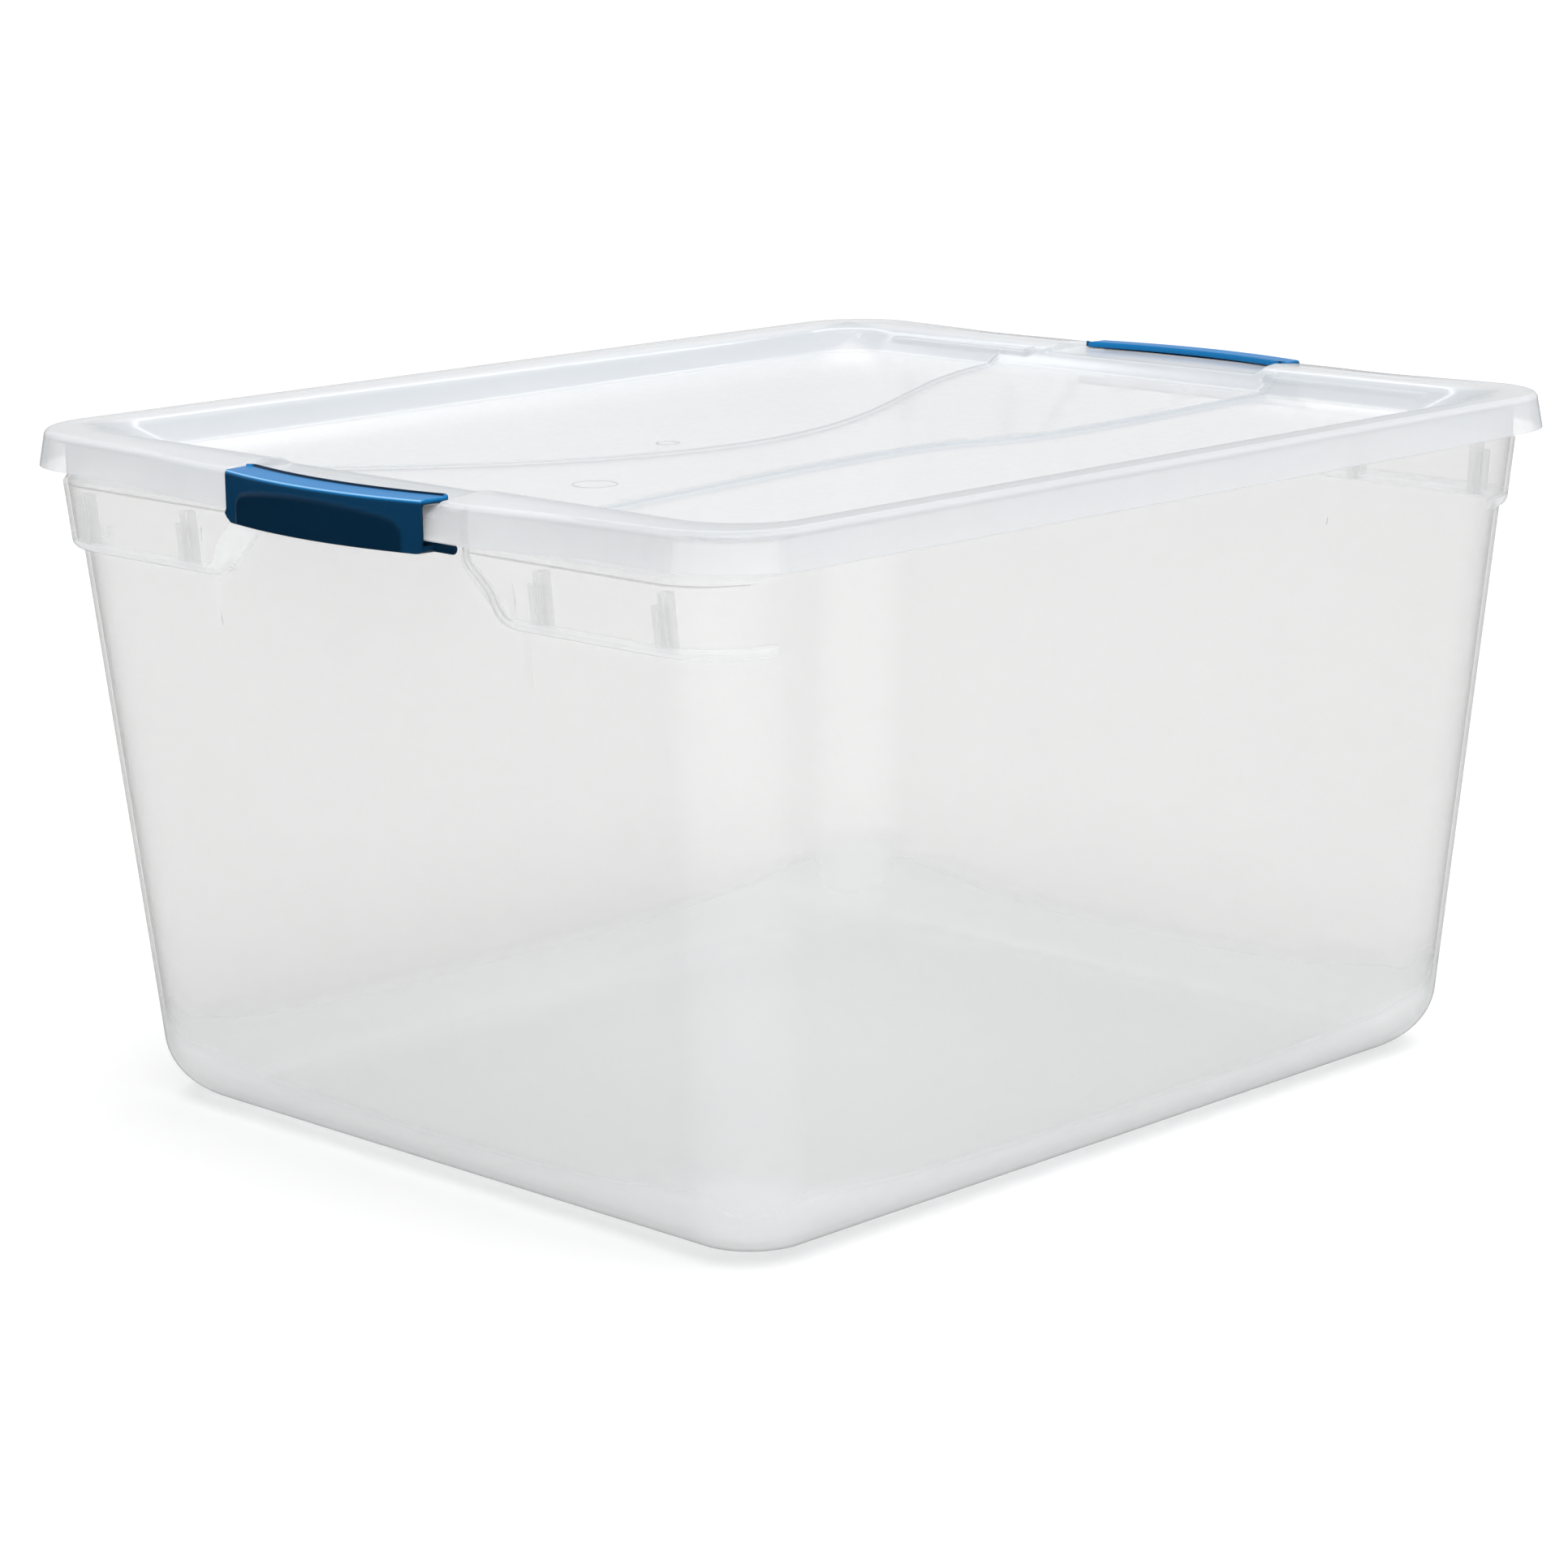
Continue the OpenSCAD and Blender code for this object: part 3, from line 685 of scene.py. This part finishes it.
def pad_distance(points):
    """How far skirt points lie inside a corner pad; the pads are on two opposite corners."""
    x, y = np.abs(points[:, 0]), np.abs(points[:, 1])
    centre_x, centre_y = SKIRT_HALF_X - LID_CORNER, SKIRT_HALF_Y - LID_CORNER
    angle = np.degrees(np.arctan2(y - centre_y, x - centre_x))
    across = np.radians(np.abs(angle - PAD_ANGLE)) * LID_CORNER
    gap = np.column_stack([across - PAD_HALF + PAD_ROUND, points[:, 2] - PAD_TOP + PAD_ROUND])
    inside = PAD_ROUND - np.linalg.norm(np.maximum(gap, 0), axis=1) - np.minimum(gap.max(1), 0)
    on_pad = (x > centre_x) & (y > centre_y) & (points[:, 0] * points[:, 1] > 0)
    return np.where(on_pad, inside, OFF_PAD)


def raise_pads(points):
    """Lets the corner pads stand out of the skirt."""
    centre = np.array([SKIRT_HALF_X - LID_CORNER, SKIRT_HALF_Y - LID_CORNER]) * np.sign(points[:, :2])
    out = points[:, :2] - centre
    out /= np.maximum(np.linalg.norm(out, axis=1, keepdims=True), 1e-6)
    points[:, :2] += out * PAD_PROUD * smooth(pad_distance(points) / PAD_EDGE)[:, None]
    return points


def pocket_loop(run, z):
    """A loop round the pocket, drawn in by run from its top edge."""
    flat = outline(POCKET_X - run, POCKET_Y - run, POCKET_CORNER - run / 2, LID_STOPS, *LID_STEPS[1:])
    return flat_to_3d(flat, z)


def slope_relief(points, run):
    """Beads along the end slopes, each starting in a small nub beside the latch seat."""
    x, y = np.abs(points[:, 0]), np.abs(points[:, 1])
    bead = smooth(1 - abs(run - BEAD_RUN) / BEAD_HALF)
    along = smooth((y - BEAD_START) / BEAD_FADE_IN) * smooth((BEAD_END - y) / BEAD_FADE_OUT)
    along = along * (x > POCKET_X - RISER_RUN)
    nub = smooth(1 - np.hypot(x - (POCKET_X - BEAD_RUN + NUB_OUT), y - BEAD_START) / NUB_R)
    return np.maximum(BEAD_RISE * bead * along, NUB_RISE * nub)


def seat_drop(points):
    """Lowers the band to the latch seat in the middle of each end, and bevels its outer edge."""
    y, x = np.abs(points[:, 1]), np.abs(points[:, 0])
    share = smooth((SEAT_HALF + SEAT_EDGE / 2 - y) / SEAT_EDGE) * (x > SEAT_X)
    floor = SEAT_Z - np.maximum(0, x - SEAT_BEVEL_X)
    points[:, 2] -= share * np.maximum(0, points[:, 2] - floor)
    return points


def lid_loops():
    """Loops of the lid's outer skin, from the skirt's bottom edge to the edge of the panel."""
    loops = [raise_pads(lid_loop(FLARE * t, t)) for t in np.linspace(0, 1, SKIRT_LOOPS)]
    shoulder = lid_loop(FLARE, 1.0)
    for a in np.radians(np.linspace(0, 90, EDGE_LOOPS)[1:]):
        loop = lid_loop(FLARE + EDGE_R * (1 - math.cos(a)), 1.0)
        loop[:, 2] = shoulder[:, 2] + EDGE_R * math.sin(a)
        loops.append(loop)
    depth = LID_TOP - PANEL_Z
    corners = [(-BAND_INSET, 0), (0, 0), (RISER_RUN, -depth), (RISER_RUN + FOOT_RUN, -depth)]
    slope = evenly(rounded_path(corners, SLOPE_ROUNDS), SLOPE_PITCH)
    band_outer, band_inner = loops[-1], pocket_loop(slope[0][0], LID_TOP)
    loops += [band_outer + (band_inner - band_outer) * t for t in np.linspace(0, 1, BAND_LOOPS)[1:]]
    for run, fall in slope[1:]:
        loop = pocket_loop(run, LID_TOP + fall)
        loop[:, 2] += slope_relief(loop, run)
        loops.append(loop)
    return np.array([seat_drop(loop) for loop in loops])


BACK_CURVE = bezier(BACK_POINTS, CURVE_STEPS)
FRONT_CURVE = bezier(FRONT_POINTS, CURVE_STEPS)


def beyond(curve):
    """The curve with its ends carried straight on."""
    before = curve[0] + (curve[0] - curve[1]) * CURVE_TAIL
    after = curve[-1] + (curve[-1] - curve[-2]) * CURVE_TAIL
    return np.vstack([before, curve, after])


def swoosh_distances(points):
    """Distances into the swoosh from its back and its front curve."""
    flat = points[:, :2]
    return -distance_to_line(flat, beyond(BACK_CURVE)), distance_to_line(flat, beyond(FRONT_CURVE))


def inside_panel(points, half, corner, gap):
    """Which points lie inside the panel's edge by more than a gap."""
    q = np.abs(points) - (half - gap - corner)
    return np.linalg.norm(np.maximum(q, 0), axis=1) + np.minimum(q.max(1), 0) < corner


def panel_mesh(rim):
    """Points and triangles of the panel inside its rim loop, with lines of points along each curve."""
    edge = rim[:, :2]
    half = np.abs(edge).max(0)
    corner = POCKET_CORNER - RISER_RUN / 2
    points, edges = [tuple(p) for p in edge], []
    for curve in (BACK_CURVE, FRONT_CURVE):
        run = np.gradient(curve, axis=0)
        side = np.column_stack([-run[:, 1], run[:, 0]]) / np.linalg.norm(run, axis=1, keepdims=True)
        for shift in np.linspace(-CURVE_REACH, CURVE_REACH, CURVE_LINES):
            line = curve + side * shift
            line = line[inside_panel(line, half, corner, LINE_GAP)]
            start = len(points)
            points += [tuple(p) for p in line]
            edges += [(start + i, start + i + 1) for i in range(len(line) - 1)]
    across, along = (np.arange(-size, size, PANEL_PITCH) for size in half)
    grid = np.array([(x, y) for x in across for y in along])
    grid = grid[inside_panel(grid, half, corner, PANEL_GAP)]
    lines = np.vstack([BACK_CURVE, FRONT_CURVE])
    near = np.min(np.linalg.norm(grid[:, None] - lines[None], axis=2), axis=1)
    points += [tuple(p) for p in grid[near > CURVE_GAP]]
    border = list(range(len(edge)))
    result = delaunay_2d_cdt([Vector(p) for p in points], edges, [border], 1, 1e-6)
    verts, faces = result[0], result[2]
    return np.array([tuple(v) for v in verts]), faces


def raise_swoosh(verts):
    """Lifts the panel between its two curves, fading out up the slopes."""
    x, y, z = np.abs(verts).T
    inner = (x < POCKET_X) & (y < POCKET_Y) & (z < PANEL_Z + FADE_RISE)
    back, front = swoosh_distances(verts[inner])
    fade = 1 - smooth((verts[inner, 2] - PANEL_Z) / FADE_RISE)
    ridge = RIDGE_RISE * (np.exp(-(back - RIDGE_IN) ** 2) + np.exp(-(front - RIDGE_IN) ** 2))
    rise = SWOOSH_RISE * smooth(back / SWOOSH_RUN + 0.5) * smooth(front / SWOOSH_RUN + 0.5)
    verts[inner, 2] += (rise + ridge) * fade
    return verts


def lid_thickness_and_shade(verts):
    """Plastic under each point, which with the lid's grey thick colour paints shade: more in the slopes
    and along the swoosh, so these are painted darker; and how pale it is.
    """
    back, front = swoosh_distances(verts)
    x, y = np.abs(verts[:, 0]), np.abs(verts[:, 1])
    out = np.maximum(x - POCKET_X, y - POCKET_Y)
    panel = 1 - smooth(out / RISER_RUN + 1)
    slope = smooth(out / SLOPE_FADE_IN + RISER_RUN / SLOPE_FADE_IN) * smooth(-out / SLOPE_FADE_OUT)
    # Painted shade: dark lines along the swoosh's two folds
    fold_shade = np.exp(-((back - BACK_FOLD_IN) / FOLD_HALF) ** 2) + np.exp(-(front / FOLD_HALF) ** 2)
    pad = smooth(pad_distance(verts) / PAD_PALE_EDGE)
    thickness = LID_PLASTIC - PANEL_LESS * panel + FOLD_HAZE_AND_SHADE * fold_shade * panel
    return thickness + SLOPE_HAZE_AND_SHADE * slope + PAD_MORE * pad, PAD_PALE * pad


def ring(place_x, place_y, radius, material):
    """A thin raised ring left in the panel by the mould."""
    rows = []
    height = raise_swoosh(np.array([[place_x, place_y, PANEL_Z]]))[0, 2]
    section = arc(0, 0, RING_BEAD, 0, 360, RING_SIDES)[:-1]
    for a in np.linspace(0, 2 * math.pi, RING_STEPS + 1)[:-1]:
        rows.append([(place_x + (radius + u) * math.cos(a), place_y + (radius + u) * math.sin(a),
                      height + RING_FLATTEN * v) for u, v in section])
    rows.append(rows[0])
    faces = grid_faces(RING_STEPS + 1, RING_SIDES)
    obj = mesh_object("ring", np.array(rows).reshape(-1, 3), faces, material)
    set_values(obj, "thickness", [RING_THICKNESS] * len(obj.data.vertices))
    set_values(obj, "pale", [0.0] * len(obj.data.vertices))
    return obj


def apply_modifiers(obj):
    """Bakes an object's modifiers into its mesh."""
    graph = bpy.context.evaluated_depsgraph_get()
    mesh = bpy.data.meshes.new_from_object(obj.evaluated_get(graph), depsgraph=graph)
    obj.modifiers.clear()
    obj.data = mesh


def make_lid(material):
    """The lid: skirt, band, seats, pocket and panel, as a sheet with a thickness."""
    loops = lid_loops()
    rows, columns = loops.shape[:2]
    skin = loops.reshape(-1, 3)
    faces = grid_faces(rows, columns)
    flat, triangles = panel_mesh(loops[-1])
    panel = flat_to_3d(flat, loops[-1, :, 2].min())
    faces += [tuple(i + len(skin) for i in t) for t in triangles]
    lid = mesh_object("lid_moulding", raise_swoosh(np.vstack([skin, panel])), faces, material)
    bm = bmesh.new()
    bm.from_mesh(lid.data)
    bmesh.ops.remove_doubles(bm, verts=bm.verts, dist=WELD * MM)
    bmesh.ops.recalc_face_normals(bm, faces=bm.faces)
    bm.to_mesh(lid.data)
    bm.free()
    if max(lid.data.polygons, key=lambda p: p.area).normal.z < 0:
        lid.data.flip_normals()
    verts = np.array([tuple(v.co) for v in lid.data.vertices]) / MM
    for name, values in zip(("thickness", "pale"), lid_thickness_and_shade(verts)):
        set_values(lid, name, values)
    shell = lid.modifiers.new("thickness", "SOLIDIFY")
    shell.thickness = LID_WALL * MM
    shell.offset = -1
    edge = lid.modifiers.new("edge", "BEVEL")
    edge.width = EDGE_BEVEL * MM
    edge.segments = 2
    edge.limit_method = "ANGLE"
    edge.angle_limit = math.radians(EDGE_BEVEL_ANGLE)
    apply_modifiers(lid)
    return join(lid, [ring(*place, material) for place in RINGS])


# ---------------------------------------------------------------- latches

def arch_line():
    """The arch moulded on a latch's face, as (y, z) from below one foot over the crown to the other."""
    turn = ARCH_HALF - ARCH_CORNER
    right = [(ARCH_HALF, ARCH_FOOT - 20), (ARCH_HALF, ARCH_FOOT), (ARCH_HALF, ARCH_TURN - 1)]
    right += [tuple(p) for p in arc(turn, ARCH_TURN, ARCH_CORNER, 5, 80, 8)]
    top = [(y, ARCH_CROWN - (ARCH_CROWN - ARCH_SHOULDER) * (y / turn) ** 2)
           for y in np.linspace(ARCH_TOP_HALF, -ARCH_TOP_HALF, 40)]
    left = [(-y, z) for y, z in right[::-1]]
    return np.array(right + top + left)


def latch_face(y):
    """Distance of the latch's outer face from the middle of the tote."""
    r = (LATCH_HALF ** 2 + LATCH_BOW ** 2) / (2 * LATCH_BOW)
    return LATCH_REACH - r + np.sqrt(r * r - y * y)


def between(start, end, count):
    """Evenly spaced points from start to end, without those two."""
    return np.column_stack([np.linspace(a, b, count + 2)[1:-1] for a, b in zip(start, end)])


def latch_section(y):
    """Closed (x, z) section of a latch at a distance y from its middle."""
    face = latch_face(y)
    past = max(0.0, abs(y) - LATCH_HALF + HOOK_CORNER)
    tip = face - HOOK + HOOK_CORNER - math.sqrt(HOOK_CORNER ** 2 - past ** 2)
    gap = min(abs(y - place) for place in CLIP_PLACES)
    notch = smooth((NOTCH_HALF + NOTCH_EDGE - gap) / (2 * NOTCH_EDGE))
    foot = HINGE_X + (ROD_R + CLIP_WALL + NOTCH_ROOM) * notch
    past = max(0.0, abs(y) - LATCH_HALF + FOOT_CORNER)
    low = LATCH_BOTTOM + FOOT_CORNER - math.sqrt(FOOT_CORNER ** 2 - past ** 2)
    high, wall = LATCH_TOP, LATCH_WALL
    under, over, lip = high - wall, high + LIP_HEIGHT, tip + LIP_WIDTH
    inner, floor = face - wall - INNER_ROUND, low + wall
    parts = [
        arc(face - LOWER_ROUND, low + LOWER_ROUND, LOWER_ROUND, -90, 0, 5),
        between((face, low + LOWER_ROUND), (face, high - OUTER_ROUND), 15),
        arc(face - OUTER_ROUND, high - OUTER_ROUND, OUTER_ROUND, 0, 90, 7),
        between((face - OUTER_ROUND, high), (lip, high), 6),
        [(lip, high), (lip - 0.3, over - 0.2), (lip - 0.6, over), (tip + 0.4, over), (tip, over - 0.4),
         (tip, under + 0.4), (tip + 0.4, under)],
        between((tip + 0.4, under), (inner, under), 6),
        arc(inner, under - INNER_ROUND, INNER_ROUND, 90, 0, 4),
        between((face - wall, high - 4), (face - wall, floor + INNER_ROUND), 6),
        arc(inner, floor + INNER_ROUND, INNER_ROUND, 0, -90, 4),
        between((inner, floor), (foot + 0.4, floor), 4),
        [(foot + 0.4, floor), (foot, floor - 0.4), (foot, low + 0.4), (foot + 0.4, low)],
        between((foot + 0.4, low), (face - LOWER_ROUND, low), 4),
    ]
    section = np.vstack([np.asarray(p, float) for p in parts])
    return np.column_stack([section[:, 0], np.full(len(section), y), section[:, 1]])


def latch_rows():
    """Sections along a latch, closer together at its clip notches and at its ends."""
    stops = set(np.linspace(-LATCH_HALF + END_GAP, LATCH_HALF - END_GAP, LATCH_STEPS))
    stops |= {place + side * (NOTCH_HALF + d) for place in CLIP_PLACES for side in (-1, 1)
              for d in (-NOTCH_EDGE, -0.1, 0.1, NOTCH_EDGE)}
    rows = [latch_section(y) for y in sorted(stops)]
    first, last = rows[0].copy(), rows[-1].copy()
    first[:, 1], last[:, 1] = -LATCH_HALF, LATCH_HALF
    return np.array([first, *rows, last])


def outside_arch(rows):
    """How far outside the arch each point of a latch's face lies, as 0 to 1 across the step."""
    flat = rows[:, :, 1:].reshape(-1, 2)
    return smooth(0.5 - distance_to_line(flat, arch_line()) / ARCH_RUN).reshape(rows.shape[:2])


def latch_painted_light(x, z, front, beside):
    """How much painted light each point of a latch gets: most on its flange and in the painted highlight
    on the rounded edge, then beside the arch.
    """
    lip_edge = front - HOOK + LIP_WIDTH
    top = smooth((z - LATCH_TOP + TOP_BELOW) / TOP_FADE) * smooth((x - lip_edge) / LIP_FADE)
    # Painted highlight along the flange's rounded outer edge
    from_edge = np.hypot(x - front + ROUND_IN, z - LATCH_TOP + ROUND_IN)
    edge_highlight = smooth(ROUND_REACH - from_edge / ROUND_FADE)
    inside = smooth((lip_edge - LIP_WIDTH + HOOK_IN - x) / HOOK_FADE) * (z > LATCH_TOP - LATCH_WALL)
    lit_flange = FLANGE_PAINTED_LIGHT * np.maximum(top, inside)
    return np.clip(lit_flange + EDGE_PAINTED_HIGHLIGHT * edge_highlight + FACE_PAINTED_LIGHT * beside, 0, 1)


def hinge_rod():
    """Loops of the hinge rod, with a bevel at both ends."""
    inner = ROD_HALF - ROD_BEVEL
    loops = []
    for place, r in ((-ROD_HALF, ROD_R - ROD_BEVEL), (-inner, ROD_R), (inner, ROD_R),
                     (ROD_HALF, ROD_R - ROD_BEVEL)):
        circle = arc(HINGE_X, HINGE_Z, r, 0, 360, ROD_SIDES)[:-1]
        loops.append(np.column_stack([circle[:, 0], np.full(ROD_SIDES, place), circle[:, 1]]))
    return loops


def make_latch(name, turned, material):
    """One latch handle with its hinge rod; a turned one is for the other end."""
    rows = latch_rows()
    count, columns = rows.shape[:2]
    x, z = rows[:, :, 0].copy(), rows[:, :, 2]
    front = x.max(1, keepdims=True)
    on_face = (z > LATCH_BOTTOM + FACE_ABOVE) * smooth((x - front + FACE_BACK) / FACE_FADE)
    beside = outside_arch(rows) * on_face
    rows[:, :, 0] -= ARCH_STEP * beside
    inward = 1 - smooth((x - front + HOOK) / HOOK)
    rows[:, :, 1] *= 1 - END_LEAN / LATCH_HALF * (1 - inward)
    # Painted light: a lighter flange and face beside the arch, and a painted highlight on the rounded
    # edge
    painted_light = latch_painted_light(x, z, front, beside)
    rod = hinge_rod()
    verts = np.vstack([rows.reshape(-1, 3), *rod])
    faces = bar_faces(count, columns) + bar_faces(len(rod), ROD_SIDES, count * columns)
    if turned:
        verts[:, :2] *= -1
    latch = mesh_object(name, verts, faces, material)
    set_values(latch, "painted_light", [*painted_light.ravel(), *([0.0] * len(rod) * ROD_SIDES)])
    return latch


# ---------------------------------------------------------------- studio

def look_at_tote():
    """The camera, at the height, angle and distance that the tote was seen from."""
    data = bpy.data.cameras.new("camera")
    camera = bpy.data.objects.new("camera", data)
    bpy.context.scene.collection.objects.link(camera)
    place = Vector(CAMERA_PLACE)
    roll = math.radians(CAMERA_ROLL)
    back = (place - Vector(CAMERA_AIM)).normalized()
    right = (-back).cross(Vector((0, 0, 1))).normalized()
    up = right.cross(-back)
    cosine, sine = math.cos(roll), math.sin(roll)
    right, up = cosine * right + sine * up, cosine * up - sine * right
    camera.matrix_world = Matrix((
        (right.x, up.x, back.x, place.x), (right.y, up.y, back.y, place.y),
        (right.z, up.z, back.z, place.z), (0, 0, 0, 1)))
    data.lens = CAMERA_LENS
    data.sensor_width = CAMERA_SENSOR
    data.shift_x, data.shift_y = CAMERA_SHIFT
    data.clip_start, data.clip_end = 0.05, 60
    bpy.context.scene.camera = camera


def area_light(name, place, aim, size, power):
    """A soft rectangular light."""
    data = bpy.data.lights.new(name, "AREA")
    data.shape = "RECTANGLE"
    data.size, data.size_y = size
    data.energy = power
    light = bpy.data.objects.new(name, data)
    bpy.context.scene.collection.objects.link(light)
    light.location = place
    light.rotation_mode = "QUATERNION"
    light.rotation_quaternion = (Vector(aim) - Vector(place)).to_track_quat("-Z", "Y")


def surroundings():
    """White to look at; as a light, one strength at the horizon, another overhead and dark below."""
    world = bpy.data.worlds.new("studio")
    bpy.context.scene.world = world
    world.use_nodes = True
    nodes, links = world.node_tree.nodes, world.node_tree.links
    seen, lit = nodes["Background"], nodes.new("ShaderNodeBackground")
    seen.inputs["Strength"].default_value = 1.0
    seen.inputs["Color"].default_value = (1, 1, 1, 1)
    lit.inputs["Color"].default_value = (1, 1, 1, 1)
    split = nodes.new("ShaderNodeSeparateXYZ")
    links.new(nodes.new("ShaderNodeTexCoord").outputs["Generated"], split.inputs["Vector"])
    height = nodes.new("ShaderNodeValToRGB")
    stops = ((0.48, LOW_LIGHT), (0.52, HORIZON_LIGHT), (1.0, ZENITH_LIGHT))
    ramp = height.color_ramp.elements
    ramp.new(0.5)
    for element, (place, level) in zip(ramp, stops):
        element.position = place
        element.color = (level, level, level, 1)
    to_unit = nodes.new("ShaderNodeMapRange")
    to_unit.inputs["From Min"].default_value = -1.0
    links.new(split.outputs["Z"], to_unit.inputs["Value"])
    links.new(to_unit.outputs["Result"], height.inputs["Fac"])
    links.new(height.outputs["Color"], lit.inputs["Strength"])
    path, mix = nodes.new("ShaderNodeLightPath"), nodes.new("ShaderNodeMixShader")
    links.new(path.outputs["Is Camera Ray"], mix.inputs["Fac"])
    links.new(lit.outputs[0], mix.inputs[1])
    links.new(seen.outputs[0], mix.inputs[2])
    links.new(mix.outputs[0], nodes["World Output"].inputs["Surface"])


def studio():
    """White surroundings, a pale floor and soft light from above."""
    scene = bpy.context.scene
    scene.view_settings.view_transform = "Standard"
    scene.cycles.transparent_max_bounces = 32
    surroundings()
    bpy.ops.mesh.primitive_circle_add(vertices=96, radius=FLOOR_R, fill_type="NGON",
                                      location=(0, 0, -FLOOR_DROP))
    floor = bpy.context.object
    floor.name = "floor"
    floor.data.materials.append(plain("floor", FLOOR_COLOUR, FLOOR_ROUGHNESS))
    floor.visible_glossy = False
    sun = bpy.data.lights.new("overhead", "SUN")
    sun.energy, sun.angle = SUN_POWER, math.radians(SUN_ANGLE)
    light = bpy.data.objects.new("overhead", sun)
    bpy.context.scene.collection.objects.link(light)
    light.rotation_euler = [math.radians(turn) for turn in SUN_TURN]
    light.visible_glossy = False
    area_light("strip", *STRIP)


# ---------------------------------------------------------------- assembly

look_at_tote()
studio()
tub_plastic = clear_plastic("clear_tub_plastic", *TUB_COLOURS, TUB_DEPTH, TUB_ROUGHNESS)
lid_plastic = clear_plastic("clear_lid_plastic", *LID_COLOUR_AND_SHADE, LID_DEPTH, LID_ROUGHNESS)
latch_plastic = blue_plastic("blue_latch_plastic")

pieces = (
    (make_tub(tub_plastic), "tub", "clear_tub"),
    (make_lid(lid_plastic), "lid", "clear_lid"),
    (make_latch("latch_front_handle", True, latch_plastic), "latch_front", "latch_blue"),
    (make_latch("latch_back_handle", False, latch_plastic), "latch_back", "latch_blue"),
)
for piece, node, material_slot in pieces:
    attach(piece, node)
    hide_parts(node)
